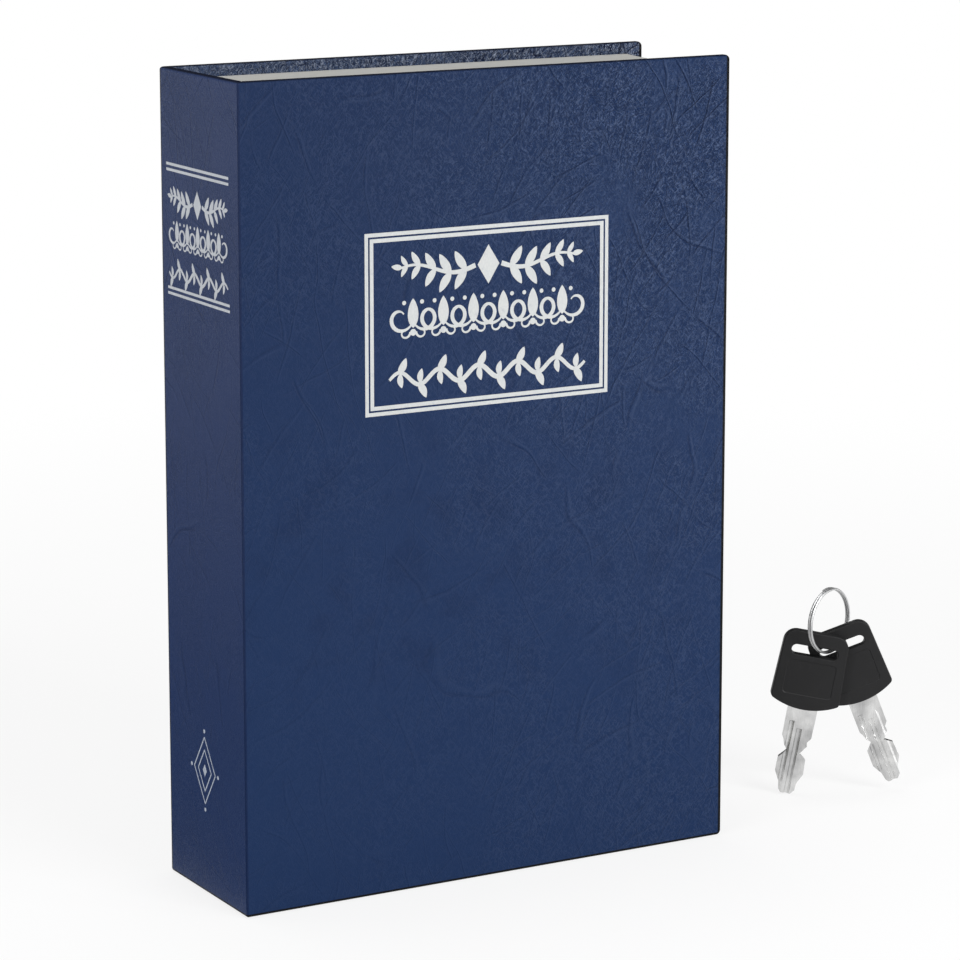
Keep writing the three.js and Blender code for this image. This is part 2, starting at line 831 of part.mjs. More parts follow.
// The arm points up at rest and turns towards the fore-edge to lock
function lockCamSolid() {
  const half = camArmWidth / 2
  const arm = new THREE.Shape()
  arm.moveTo(lockX - half, lockZ)
  arm.lineTo(lockX + half, lockZ)
  arm.lineTo(lockX + half, lockZ + camReach - half)
  arm.absarc(lockX, lockZ + camReach - half, half, 0, Math.PI, false)
  arm.closePath()
  const drive = driveSize / 2 + fitGap
  return plateY(arm, camFrontY, camBackY, smallSteps / 2)
    .add(rodY(lockX, lockZ, camHubRadius, camFrontY, camBackY))
    .subtract(block(
      lockX - drive, lockX + drive,
      camFrontY - cutOverrun, camBackY + cutOverrun,
      lockZ - drive, lockZ + drive,
    ))
}

function camScrewSolid() {
  return rodY(lockX, lockZ, camScrewRadius, camBackY - camScrewDepth, camBackY + weldOverlap, smallSteps)
    .add(rodY(lockX, lockZ, camScrewHeadRadius, camBackY, camBackY + camScrewHeadThick, smallSteps))
}

add('lock_body', lockBodySolid(), brightSteel())
add('lock_nut', lockNutSolid(), brightSteel())
add('lock_plug', lockPlugSolid(), brightSteel())
for (let index = 0; index < waferCount; index += 1) {
  add(`lock_wafer_${index + 1}`, waferSolid(index), brassMetal())
}
add('lock_cam', lockCamSolid(), brightSteel())
add('cam_screw', camScrewSolid(), brightSteel())

// Keys. A key is drawn with its tip at the origin, its length along +Z and its faces towards -Y and +Y.

const keysX = foreX + keyTipBeyond
const keysY = frontOuterY + keyTipBehind
const keyStack = bowThick / 2 + fitGap / 2

// Half-widths as shares of the blade's half-width, and heights as shares of its length, from the tip up
const bladeLeftShares = [
  [0.36, 0], [0.52, 0.03], [0.62, 0.12], [0.98, 0.235], [0.98, 0.41],
  [0.5, 0.5], [0.74, 0.555], [0.86, 0.62], [1, 0.66], [1, 1],
]
const bladeRightShares = [
  [0.3, 0], [0.55, 0.05], [0.57, 0.125], [0.93, 0.245], [0.87, 0.42],
  [0.38, 0.485], [0.8, 0.575], [0.74, 0.62], [0.98, 0.675], [1, 1],
]

function bladeSolid() {
  const shape = new THREE.Shape()
  const left = bladeLeftShares.map(([w, h]) => [-w * bladeHalfWidth, h * bladeLength])
  const right = bladeRightShares.map(([w, h]) => [w * bladeHalfWidth, h * bladeLength])
  shape.moveTo(...left[0])
  for (const point of right) {
    shape.lineTo(...point)
  }
  shape.lineTo(tangWidth / 2, bladeLength)
  shape.lineTo(-tangWidth / 2, bladeLength)
  for (const point of left.reverse()) {
    shape.lineTo(...point)
  }
  const tang = block(
    -tangWidth / 2, tangWidth / 2, -tangThick / 2, tangThick / 2,
    bladeLength - weldOverlap, bladeLength + tangLength,
  )
  return plateY(shape, -bladeThick / 2, bladeThick / 2).add(tang)
}

const grooveTopShares = [0.86, 0.78]

function keyBladeSolid() {
  let blade = bladeSolid()
  for (const [index, side] of [-1, 1].entries()) {
    const middle = side * grooveOffset
    const top = grooveTopShares[index] * bladeLength
    blade = blade.subtract(block(
      middle - grooveWidth / 2, middle + grooveWidth / 2,
      -bladeThick / 2 - cutOverrun, -bladeThick / 2 + grooveDepth,
      -cutOverrun, top,
    ))
  }
  return blade.subtract(block(
    -grooveWidth / 2, grooveWidth / 2,
    bladeThick / 2 - grooveDepth, bladeThick / 2 + cutOverrun,
    -cutOverrun, grooveTopShares[0] * bladeLength,
  ))
}

// The grip flares a little downwards and ends in a shallow arc
function bowOutline() {
  const top = keyTotal
  const halfTop = bowTopWidth / 2
  const halfBottom = bowBottomWidth / 2
  const lift = bowBottomRadius
  const arcEndZ = bowChord - bowBulge / 4
  const arcPullZ = arcEndZ - 2 * (bowBulge - bowBulge / 4)
  const shape = new THREE.Shape()
  shape.moveTo(halfBottom, bowChord + lift)
  shape.lineTo(halfTop, top - bowTopRadius)
  shape.absarc(halfTop - bowTopRadius, top - bowTopRadius, bowTopRadius, 0, Math.PI / 2, false)
  shape.absarc(-halfTop + bowTopRadius, top - bowTopRadius, bowTopRadius, Math.PI / 2, Math.PI, false)
  shape.lineTo(-halfBottom, bowChord + lift)
  shape.quadraticCurveTo(-halfBottom, bowChord, -halfBottom + lift, arcEndZ)
  shape.quadraticCurveTo(0, arcPullZ, halfBottom - lift, arcEndZ)
  shape.quadraticCurveTo(halfBottom, bowChord, halfBottom, bowChord + lift)
  return shape
}

function slotSolid(y0, y1) {
  const half = slotLength / 2
  const shape = roundedRectangle(
    -half, half, slotCentre - slotHeight / 2, slotCentre + slotHeight / 2, slotHeight / 2,
  )
  return plateY(shape, y0, y1, smallSteps / 2)
}

function keyBowSolid() {
  const face = bowThick / 2
  const panel = roundedRectangle(
    -panelWidth / 2, panelWidth / 2,
    keyTotal - panelDrop - panelHeight, keyTotal - panelDrop, panelRadius,
  )
  const pocket = block(
    -tangWidth / 2 - fitGap, tangWidth / 2 + fitGap,
    -tangThick / 2 - fitGap, tangThick / 2 + fitGap,
    bladeLength - cutOverrun, bladeLength + tangLength + fitGap,
  )
  const shoulder = block(
    -bladeHalfWidth - fitGap, bladeHalfWidth + fitGap,
    -face - cutOverrun, face + cutOverrun,
    bladeLength - cutOverrun, bladeLength + fitGap,
  )
  return plateY(bowOutline(), -face, face, hollowSteps)
    .subtract(slotSolid(-face - cutOverrun, face + cutOverrun))
    .subtract(plateY(panel, -face - cutOverrun, -face + panelDepth))
    .subtract(plateY(panel, face - panelDepth, face + cutOverrun))
    .subtract(pocket)
    .subtract(shoulder)
}

// Split ring: one wire wound in two turns, its ends at the top, drawn with its axis along Y

class RingCurve extends THREE.Curve {
  getPoint(t, target = new THREE.Vector3()) {
    const angle = Math.PI * (2 * ringTurns * t + 0.5)
    const climb = (2 * ringWireRadius + ringTurnGap) * ringTurns
    return target.set(ringRadius * Math.cos(angle), climb * (t - 0.5), ringRadius * Math.sin(angle))
  }
}

function ringGeometry() {
  const turnSteps = 24
  const wireSides = 6
  const rings = turnSteps * ringTurns
  const curve = new RingCurve()
  const positions = []
  const point = new THREE.Vector3()
  for (let i = 0; i <= rings; i += 1) {
    curve.getPoint(i / rings, point)
    const outward = new THREE.Vector3(point.x, 0, point.z).normalize()
    for (let k = 0; k < wireSides; k += 1) {
      const around = (2 * Math.PI * k) / wireSides
      positions.push(
        point.x + ringWireRadius * Math.cos(around) * outward.x,
        point.y + ringWireRadius * Math.sin(around),
        point.z + ringWireRadius * Math.cos(around) * outward.z,
      )
    }
  }
  const index = []
  for (let i = 0; i < rings; i += 1) {
    for (let k = 0; k < wireSides; k += 1) {
      const a = i * wireSides + k
      const b = i * wireSides + ((k + 1) % wireSides)
      index.push(a, b, b + wireSides, a, b + wireSides, a + wireSides)
    }
  }
  for (let k = 1; k < wireSides - 1; k += 1) {
    const last = rings * wireSides
    index.push(0, k + 1, k)
    index.push(last, last + k, last + k + 1)
  }
  const geometry = new THREE.BufferGeometry()
  geometry.setAttribute('position', new THREE.Float32BufferAttribute(positions, 3))
  geometry.setIndex(index)
  geometry.computeVertexNormals()
  return geometry
}

// The least gap between the ring's two turns, measured between points of its centreline
function ringLeastGap() {
  const curve = new RingCurve()
  const samples = 400
  const points = Array.from({ length: samples + 1 }, (_, i) => curve.getPoint(i / samples))
  let least = Infinity
  for (let i = 0; i <= samples; i += 1) {
    for (let j = i + samples / ringTurns / 2; j <= samples; j += 1) {
      least = Math.min(least, points[i].distanceTo(points[j]))
    }
  }
  return least - 2 * ringWireRadius
}

console.log(`Least gap between the turns of the split ring: ${ringLeastGap().toFixed(3)} mm`)

const keys = new THREE.Group()
keys.position.set(keysX, keysY, 0)
keys.rotation.z = THREE.MathUtils.degToRad(keysTurn)
part.add(keys)

// The wire climbs more than the front slot does as it passes through, so the slots hang that much lower
const frontTilt = THREE.MathUtils.degToRad(frontKeyTilt)
const wireRun = (bowThick + fitGap) / Math.sin(THREE.MathUtils.degToRad(ringPlaneTurn))
const wireClimb = ringRadius - Math.sqrt(ringRadius ** 2 - wireRun ** 2)
const slotClimb = wireRun * Math.cos(THREE.MathUtils.degToRad(ringPlaneTurn)) * Math.tan(frontTilt)
const slotReach = slotCentre + slotHeight / 2 - fitGap - ringWireRadius - (wireClimb - slotClimb)
const ringAlong = pivotAcross * Math.cos(frontTilt) + slotReach * Math.sin(frontTilt)

// The front key's tip stands on the ground, so its lower corner sets the height of the ring
function tipDrop([share]) {
  return slotReach * Math.cos(frontTilt) + (share * bladeHalfWidth - pivotAcross) * Math.sin(frontTilt)
}

const ringWireHeight = tipDrop(bladeRightShares[0])

function addKey(name, tilt, depth, across) {
  const group = new THREE.Group()
  group.position.set(ringAlong, depth, ringWireHeight)
  group.rotation.y = THREE.MathUtils.degToRad(tilt)
  const bench = new THREE.Group()
  bench.position.set(-across, 0, -slotReach)
  group.add(bench)
  keys.add(group)
  add(`${name}_blade`, keyBladeSolid(), brightSteel(), bench)
  add(`${name}_bow`, keyBowSolid(), bowPlastic(), bench)
}

const ring = add('key_ring', ringGeometry(), brightSteel(), keys)
ring.position.set(ringAlong, 0, ringWireHeight + ringRadius)
ring.rotation.z = THREE.MathUtils.degToRad(ringPlaneTurn)

addKey('front_key', frontKeyTilt, -keyStack, pivotAcross)
addKey('rear_key', rearKeyTilt, keyStack, -pivotAcross)

export default part
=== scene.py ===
import math

import bmesh
import bpy
from mathutils import Matrix, Vector


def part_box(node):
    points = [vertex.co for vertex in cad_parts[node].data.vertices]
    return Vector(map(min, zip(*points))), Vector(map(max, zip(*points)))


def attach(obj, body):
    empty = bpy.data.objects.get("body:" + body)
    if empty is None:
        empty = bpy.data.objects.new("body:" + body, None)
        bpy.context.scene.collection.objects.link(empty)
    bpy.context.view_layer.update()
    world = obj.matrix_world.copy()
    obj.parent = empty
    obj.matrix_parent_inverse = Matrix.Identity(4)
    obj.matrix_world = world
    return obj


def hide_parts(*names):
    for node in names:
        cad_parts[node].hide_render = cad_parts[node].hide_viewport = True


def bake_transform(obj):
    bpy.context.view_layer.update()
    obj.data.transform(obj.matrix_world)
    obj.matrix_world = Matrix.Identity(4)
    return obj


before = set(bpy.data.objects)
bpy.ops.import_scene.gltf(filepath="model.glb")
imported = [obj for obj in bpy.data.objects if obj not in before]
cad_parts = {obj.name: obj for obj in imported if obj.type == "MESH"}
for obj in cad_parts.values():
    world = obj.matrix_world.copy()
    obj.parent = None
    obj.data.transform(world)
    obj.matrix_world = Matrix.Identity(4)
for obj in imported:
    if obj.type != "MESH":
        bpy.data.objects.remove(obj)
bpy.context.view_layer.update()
scene = bpy.context.scene
mm = 0.001
print("frame loaded:", len(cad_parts), "CAD nodes")


# Shader sockets that take part in sums

def operator(operation, swapped=False):
    def made(self, other):
        return self.tree.maths(operation, *((other, self) if swapped else (self, other)))
    return made


class Value:
    __add__, __radd__ = operator("ADD"), operator("ADD", True)
    __sub__, __rsub__ = operator("SUBTRACT"), operator("SUBTRACT", True)
    __mul__, __rmul__ = operator("MULTIPLY"), operator("MULTIPLY", True)
    __truediv__, __gt__, __lt__ = operator("DIVIDE"), operator("GREATER_THAN"), operator("LESS_THAN")
    larger = operator("MAXIMUM")

    def __init__(self, tree, socket):
        self.tree = tree
        self.socket = socket

    def size(self):
        return self.tree.maths("ABSOLUTE", self)

    def ramp(self, low, high):
        return self.tree.node("ShaderNodeMapRange", {"interpolation_type": "SMOOTHSTEP"},
                              {0: self, 1: low, 2: high, 3: 0.0, 4: 1.0})


class Tree:
    def __init__(self, nodeTree):
        self.nodes = nodeTree.nodes
        self.links = nodeTree.links

    def node(self, kind, settings=None, inputs=None, output=0):
        made = self.nodes.new(kind)
        for key, value in (settings or {}).items():
            setattr(made, key, value)
        for key, value in (inputs or {}).items():
            if isinstance(value, Value):
                self.links.new(value.socket, made.inputs[key])
            else:
                made.inputs[key].default_value = value
        return Value(self, made.outputs[output])

    def maths(self, operation, a, b=None):
        inputs = {0: a} if b is None else {0: a, 1: b}
        return self.node("ShaderNodeMath", {"operation": operation}, inputs)

    def mix(self, factor, a, b):
        return self.node("ShaderNodeMix", {"data_type": "RGBA"}, {0: factor, 6: a, 7: b}, 2)

    def place(self, scale=(1, 1, 1), shift=0):
        coordinates = self.node("ShaderNodeTexCoord", output=3)
        return self.node("ShaderNodeMapping", {}, {0: coordinates, 1: (shift * mm, 0, 0), 3: scale})

    def noise(self, where, scale, detail=2.0, rough=0.5):
        return self.node("ShaderNodeTexNoise", {}, {
            "Vector": where, "Scale": scale, "Detail": detail, "Roughness": rough})

    def wandering(self, where, scale, reach):
        drift = self.node("ShaderNodeTexNoise", {}, {"Vector": where, "Scale": scale, "Detail": 2.0}, 1)
        centred = self.node("ShaderNodeVectorMath", {"operation": "SUBTRACT"}, {0: drift, 1: (0.5, 0.5, 0.5)})
        return self.node("ShaderNodeVectorMath", {"operation": "MULTIPLY_ADD"}, {
            0: centred, 1: (reach * mm, reach * mm, reach * mm), 2: where})

    def cells(self, where, scale):
        return self.node("ShaderNodeTexVoronoi", {"feature": "DISTANCE_TO_EDGE"}, {"Vector": where, "Scale": scale})

    def parts(self, where):
        split = self.nodes.new("ShaderNodeSeparateXYZ")
        self.links.new(where.socket, split.inputs[0])
        return [Value(self, split.outputs[axis]) for axis in range(3)]

    def ray(self, kind):
        return self.node("ShaderNodeLightPath", output=f"Is {kind} Ray")

    def attribute(self, name):
        return self.node("ShaderNodeAttribute", {"attribute_name": name}, output=2)

    def bump(self, height, strength, distance, below=None):
        inputs = {"Strength": strength, "Distance": distance * mm, "Height": height}
        if below is not None:
            inputs["Normal"] = below
        return self.node("ShaderNodeBump", {}, inputs)


def linear(red, green, blue):
    def one(value):
        share = value / 255
        return share / 12.92 if share <= 0.04045 else ((share + 0.055) / 1.055) ** 2.4
    return (one(red), one(green), one(blue), 1.0)


def newMaterial(name, build, fixed):
    material = bpy.data.materials.new(name)
    material.use_nodes = True
    tree = Tree(material.node_tree)
    shader = next(node for node in tree.nodes if node.type == "BSDF_PRINCIPLED")
    for key, value in fixed.items():
        shader.inputs[key].default_value = value
    for key, value in build(tree).items():
        tree.links.new(value.socket, shader.inputs[key])
    return material


leather = {
    # pale is the colour of painted grain highlights; deep carries painted shade in creases, the spine corner and
    # grain strokes, and the random stains
    "base": linear(25, 45, 80), "pale": linear(86, 101, 132), "deep": linear(4, 18, 48),
    "turnIn": linear(66, 80, 108), "turnInPale": linear(136, 145, 164),
    # The spine's colour is painted light: lit at the top, shaded at the foot
    "spine": linear(47, 61, 98), "spineShadedFoot": linear(25, 49, 93),
    "edge": linear(7, 13, 30), "edgeShadow": linear(9, 9, 10), "spineEdge": linear(44, 44, 46),
    "rough": 0.34, "darkRough": 0.12, "edgeRough": 0.5,
    "patchScale": 30, "stainScale": 75, "stain": 0.16, "topLeftShade": 0.25, "pebbleScale": 1500,
    "flowScale": 30, "flowReach": 8, "hairScale": 1200, "hairStretch": 4.0, "hairWidth": 0.05,
    "lightTurns": (34, -38), "darkTurns": (12, 70), "darkShift": 31,
    "bendScale": 40, "bendReach": 6, "creaseStretch": 2.4, "creaseWidth": 0.00036, "maskScale": 45,
    "creases": ((32, 0, 95), (-36, 70, 80), (58, 130, 110), (-8, 200, 100), (20, 290, 120)),
    "swayScale": 45, "sway": 2.4, "grainDistance": 0.14, "creaseDistance": 0.2,
}
# How strongly each part of the book shows its grain; the right, top and corner shares add a painted sheen, strongest
# at the top right of the front cover
grainAndSheen = {"all": 0.08, "right": 0.18, "top": 0.16, "corner": 0.54, "spine": 0.14, "turnIn": 0.9, "crease": 0.13}
# Where the tones change, in metres across (x), back (y) and up (z)
zones = {
    "sheenAcross": (-0.06, 0.075), "sheenUp": (0.06, 0.25), "spineAcross": (-0.0808, -0.0803), "spineLitUp": (0.0, 0.16),
    "stainUp": (0.03, 0.08), "stainEnd": (0.11, 0.17), "turnInBack": (-0.0025, -0.0006), "turnInAcross": -0.0775,
    "cornerAcross": -0.08045, "cornerBack": -0.04995, "foreAcross": (0.07955, 0.0799),
    "tailUp": (0.00075, 0.00105), "rearBack": (-0.0005, 0.0001), "rearAcross": -0.0799,
}


def leaning(tree, where, turn, stretch, shift):
    return tree.node("ShaderNodeMapping", {"vector_type": "TEXTURE"}, {
        0: where, 1: (shift * mm, 0, shift * mm), 2: (0, math.radians(turn), 0), 3: (1, 1, stretch)})


def strands(tree, flow, shift, turns):
    made = None
    for turn in turns:
        where = leaning(tree, flow, turn, leather["hairStretch"], shift + turn)
        field = (tree.noise(where, leather["hairScale"], 1.0) - 0.5).size()
        line = 1 - field.ramp(0.0, leather["hairWidth"])
        made = line if made is None else made.larger(line)
    return made


# Creases run along the middle of bands that sway, with a painted highlight line beside each
def creaseFields(tree, sheet):
    creases, creaseGlints = None, None
    for turn, shift, scale in leather["creases"]:
        where = leaning(tree, sheet, turn, leather["creaseStretch"], shift)
        sway = tree.noise(where, leather["swayScale"], 0.0) * leather["sway"]
        field = tree.maths("FRACT", tree.parts(where)[0] * scale + sway) - 0.5
        width = leather["creaseWidth"] * scale
        there = tree.noise(tree.place(shift=shift), leather["maskScale"], 1.5).ramp(0.48, 0.6)
        line = (1 - field.size().ramp(0.0, width)) * there
        creaseGlint = (1 - (field - width * 1.8).size().ramp(0.0, width)) * there
        creases = line if creases is None else creases.larger(line)
        creaseGlints = creaseGlint if creaseGlints is None else creaseGlints.larger(creaseGlint)
    return creases, creaseGlints


def leatherNodes(tree):
    place = tree.place()
    across, back, up = tree.parts(place)
    rightward, upward = across.ramp(*zones["sheenAcross"]), up.ramp(*zones["sheenUp"])
    spineSide = 1 - across.ramp(*zones["spineAcross"])
    # Painted sheen: the grain strokes stand out more toward the right and the top of the cover, most at the top
    # right; the spine share sets the spine's grain
    sheenAndRub = (grainAndSheen["all"] + rightward * grainAndSheen["right"] + upward * grainAndSheen["top"]
              + rightward * upward * grainAndSheen["corner"] + spineSide * grainAndSheen["spine"])
    turnIn = ((back > zones["turnInBack"][0]) * (back < zones["turnInBack"][1])
              * (across > zones["turnInAcross"]))
    # Painted shade along the rounded corner between spine and front cover
    corner = (across < zones["cornerAcross"]) * (back < zones["cornerBack"])

    flow = tree.wandering(place, leather["flowScale"], leather["flowReach"])
    sheet = tree.node("ShaderNodeCombineXYZ", {}, {0: across + back, 1: 0.0, 2: up})
    creases, creaseGlints = creaseFields(tree, tree.wandering(sheet, leather["bendScale"], leather["bendReach"]))
    light = strands(tree, flow, 0, leather["lightTurns"])
    dark = strands(tree, flow, leather["darkShift"], leather["darkTurns"])
    pebble = tree.cells(flow, leather["pebbleScale"]).ramp(0.0, 0.3)
    patch = tree.noise(place, leather["patchScale"], 4.0, 0.6).ramp(0.34, 0.58)
    weight = (patch * 0.65 + 0.35) * sheenAndRub + turnIn * grainAndSheen["turnIn"]
    # Creases dent the bump and carry painted shade in the colour, more where the painted sheen is
    crease = creases * (sheenAndRub + grainAndSheen["crease"])
    relief = tree.bump((light * 0.6 - dark * 0.6 + pebble * 0.3) * (weight + 0.12), 1.0, leather["grainDistance"])

    # Painted shade: the cover darkens toward its top left, away from the painted sheen
    shadeTopLeft = upward * (1 - rightward) * (1 - spineSide) * leather["topLeftShade"]
    stained = tree.noise(place, leather["stainScale"], 3.0).ramp(0.5, 0.68) * up.ramp(*zones["stainUp"])
    stained = stained * (1 - up.ramp(*zones["stainEnd"])) * leather["stain"]
    cover = tree.mix(shadeTopLeft + stained, leather["base"], leather["deep"])
    # Painted light on the spine: lighter toward the top, darker toward the foot
    spine = tree.mix(up.ramp(*zones["spineLitUp"]) * 0.6 + 0.4, leather["spineShadedFoot"], leather["spine"])
    ground = tree.mix(turnIn, tree.mix(spineSide, cover, spine), leather["turnIn"])
    # Painted highlights: pale grain strokes weighted by the painted sheen, and a pale line beside each crease; on the
    # turn-in the pale speckle is the leatherette's own tone
    pale = (light * weight * 0.68).larger(creaseGlints * sheenAndRub * 0.45)
    toned = tree.mix(pale, ground, tree.mix(turnIn, leather["pale"], leather["turnInPale"]))
    # Painted shade: creases and the rounded corner between spine and front darken toward deep; dark grain strokes,
    # weighted by the painted sheen, darken too
    grainAndShade = tree.mix((dark * weight * 0.7).larger(crease * 0.75).larger(corner * 0.6), toned, leather["deep"])
    # Painted shade: rounded edges darken toward the edge colour
    rounded = tree.mix(tree.attribute("edgeShade").ramp(0.2, 0.75), grainAndShade, leather["edge"])
    rear = back.ramp(*zones["rearBack"]) * (across < zones["rearAcross"])
    # Painted shade: the fore edge and the tail edge turn near-black, where the case turns away from the light
    shadedEdges = across.ramp(*zones["foreAcross"]).larger(1 - up.ramp(*zones["tailUp"]))
    return {
        "Base Color": tree.mix(shadedEdges, tree.mix(rear, rounded, leather["spineEdge"]), leather["edgeShadow"]),
        "Roughness": leather["rough"] + dark * leather["darkRough"]
        + tree.attribute("edgeShade") * leather["edgeRough"],
        "Normal": tree.bump(1 - crease, 0.8, leather["creaseDistance"], relief),
    }


leatherMaterial = newMaterial("leatherette", leatherNodes, {"Specular IOR Level": 0.085})


foils = {
    "silver_foil": (linear(196, 198, 197), linear(168, 172, 179)),
    "spine_foil": (linear(194, 198, 204), linear(166, 171, 179)),
    "grey_foil": (linear(176, 184, 197), linear(144, 152, 168)),
}


def foilNodes(bright, dull):
    def build(tree):
        place = tree.place()
        speckle = tree.noise(place, 1600, 3.0, 0.6)
        # Random patches turn the foil duller: wear
        sheenAndRub = tree.noise(place, 420, 3.0, 0.7).ramp(0.56, 0.74)
        grain = tree.cells(tree.place((1, 1, 0.5)), leather["pebbleScale"]).ramp(0.0, 0.24)
        return {
            "Base Color": tree.mix(sheenAndRub * 0.5 + (1 - grain) * 0.2, bright, dull),
            "Roughness": speckle * 0.25 + 0.34,
            "Normal": tree.bump(grain + speckle * 0.5, 0.35, 0.08),
        }
    return build


foilMaterial, spineFoilMaterial, greyFoilMaterial = [
    newMaterial(name, foilNodes(bright, dull), {"Specular IOR Level": 0.25})
    for name, (bright, dull) in foils.items()]


pageTones = {
    "base": linear(168, 168, 165), "shade": linear(138, 137, 133), "line": linear(104, 103, 100),
    "warm": linear(173, 170, 163),
}


def pageNodes(tree):
    place = tree.place()
    streak = tree.noise(tree.place((0.12, 1, 0.12)), 2600, 2.0, 0.6)
    blotch = tree.noise(place, 30, 3.0)
    speck = tree.noise(place, 2200, 2.0)
    groove = tree.attribute("grooveShade")
    tone = tree.mix(blotch.ramp(0.35, 0.7) * 0.5, pageTones["base"], pageTones["warm"])
    lined = tree.mix(streak.ramp(0.45, 0.8) * 0.3, tone, pageTones["shade"])
    return {
        "Base Color": tree.mix(groove * 0.9, lined, pageTones["line"]),
        "Roughness": 0.6 + speck * 0.2,
        "Normal": tree.bump(streak + speck * 0.4, 0.3, 0.05),
    }


pageMaterial = newMaterial("page_plastic", pageNodes, {"Specular IOR Level": 0.4})


def paperNodes(tree):
    fibre = tree.noise(tree.place((1, 1, 0.5)), 1300, 4.0, 0.7)
    cloud = tree.noise(tree.place(), 60, 3.0)
    return {
        "Base Color": tree.mix(fibre * 0.6 + cloud * 0.4, linear(24, 28, 40), linear(44, 50, 66)),
        "Roughness": 0.8 + fibre * 0.15,
        "Normal": tree.bump(fibre, 0.3, 0.06),
    }


def boardNodes(tree):
    fibre = tree.noise(tree.place((1, 3, 1)), 900, 5.0, 0.75)
    fleck = tree.noise(tree.place(), 2600, 2.0).ramp(0.62, 0.7)
    return {
        "Base Color": tree.mix(fleck * 0.5, tree.mix(fibre, linear(122, 115, 104), linear(152, 145, 133)),
                               linear(84, 78, 70)),
        "Roughness": 0.9 + fibre * 0.08,
        "Normal": tree.bump(fibre, 0.5, 0.12),
    }


def powderNodes(tree):
    place = tree.place()
    peel = tree.noise(place, 1500, 3.0, 0.55)
    fine = tree.noise(place, 5200, 2.0)
    cloud = tree.noise(place, 40, 2.0)
    return {
        "Base Color": tree.mix(cloud * 0.6 + fine * 0.4, linear(22, 23, 25), linear(37, 38, 41)),
        "Roughness": 0.44 + peel * 0.2,
        "Normal": tree.bump(peel + fine * 0.35, 0.45, 0.05),
    }


metals = {
    "bright_steel": {"dark": linear(150, 152, 154), "bright": linear(206, 206, 204), "rough": (0.24, 0.42),
                     "stretch": (1, 1, 1), "scale": 900, "dent": 0.02, "swell": 0.0, "clouded": 0.35},
    "lock_chrome": {"dark": linear(196, 197, 200), "bright": linear(224, 224, 225), "rough": (0.1, 0.2),
                    "stretch": (1, 1, 1), "scale": 1400, "dent": 0.006, "swell": 0.0, "clouded": 0.35},
    "brass": {"dark": linear(168, 134, 66), "bright": linear(206, 176, 104), "rough": (0.25, 0.4),
              "stretch": (1, 1, 1), "scale": 1200, "dent": 0.01, "swell": 0.0, "clouded": 0.35},
    "ring_steel": {"dark": linear(186, 187, 189), "bright": linear(214, 214, 214), "rough": (0.38, 0.44),
                   "stretch": (1, 1, 1), "scale": 240, "dent": 0.001, "swell": 0.0, "clouded": 0.35},
    # The blade's colour runs in clouds from grey to near white: painted reflection patches
    "blade_nickel": {"dark": linear(158, 158, 159), "bright": linear(252, 252, 251), "rough": (0.2, 0.3),
                     "stretch": (1, 1, 0.1), "scale": 3200, "dent": 0.012, "swell": 0.5, "clouded": 0.6},
}


def metalMaterial(name):
    metal = metals[name]
    low, high = metal["rough"]
    clouded = metal["clouded"]

    def build(tree):
        streak = tree.noise(tree.place(metal["stretch"]), metal["scale"], 4.0, 0.65)
        cloud = tree.noise(tree.place(), 160, 2.0).ramp(0.5 - clouded / 2, 0.5 + clouded / 2)
        swelling = tree.bump(tree.noise(tree.place(), 170, 1.0), 1.0, metal["swell"])
        return {
            "Base Color": tree.mix(streak * (1 - clouded) + cloud * clouded, metal["dark"], metal["bright"]),
            "Roughness": low + (high - low) * streak,
            "Normal": tree.bump(streak, 0.3, metal["dent"], swelling),
        }
    return newMaterial(name, build, {"Metallic": 1.0})


def bowNodes(tree):
    place = tree.place()
    grain = tree.noise(place, 3600, 2.0, 0.6)
    cloud = tree.noise(place, 120, 2.0)
    scuff = tree.noise(tree.place((1, 1, 0.3)), 900, 3.0).ramp(0.55, 0.85)
    return {
        "Base Color": tree.mix(cloud * 0.5 + scuff * 0.5, linear(27, 27, 28), linear(38, 38, 39)),
        "Roughness": 0.42 + grain * 0.16,
        "Normal": tree.bump(grain, 0.25, 0.03),
    }


paperMaterial = newMaterial("lining_paper", paperNodes, {"Specular IOR Level": 0.3})
boardMaterial = newMaterial("greyboard", boardNodes, {"Specular IOR Level": 0.2})
powderMaterial = newMaterial("black_steel", powderNodes, {})
zincMaterial, chromeMaterial, brassMaterial, ringMaterial, bladeMaterial = [metalMaterial(name) for name in metals]
bowMaterial = newMaterial("bow_plastic", bowNodes, {"Specular IOR Level": 0.2})
print("materials made")


# Meshes

def dressed(mesh, material):
    mesh.materials.clear()
    mesh.materials.append(material)


def newObject(mesh, material):
    made = bpy.data.objects.new(mesh.name, mesh)
    scene.collection.objects.link(made)
    dressed(mesh, material)
    return made


def edited(mesh, edit):
    work = bmesh.new()
    work.from_mesh(mesh)
    edit(work)
    work.to_mesh(mesh)
    work.free()
    mesh.update()


# Edges between a broad face and a far smaller one stay sharp, so broad faces shade flat
def smoothByAngle(mesh, degrees=38, broad=30):
    def edit(work):
        areas = [face.calc_area() for face in work.faces]
        work.faces.ensure_lookup_table()
        for face in work.faces:
            face.smooth = True
        for edge in work.edges:
            sides = sorted(areas[face.index] for face in edge.link_faces)
            angle = math.degrees(edge.calc_face_angle(0)) if len(sides) == 2 else 0
            edge.smooth = not (angle > degrees or angle > 2 and sides[1] > sides[0] * broad)
    edited(mesh, edit)


def meshFrom(name, points, faces):
    mesh = bpy.data.meshes.new(name)
    mesh.from_pydata([tuple(value * mm for value in point) for point in points], [], faces)
    mesh.update()
    return mesh


def outwards(mesh, merge=0.0005):
    def edit(work):
        if merge:
            bmesh.ops.remove_doubles(work, verts=work.verts, dist=merge * mm)
        bmesh.ops.recalc_face_normals(work, faces=work.faces)
    edited(mesh, edit)


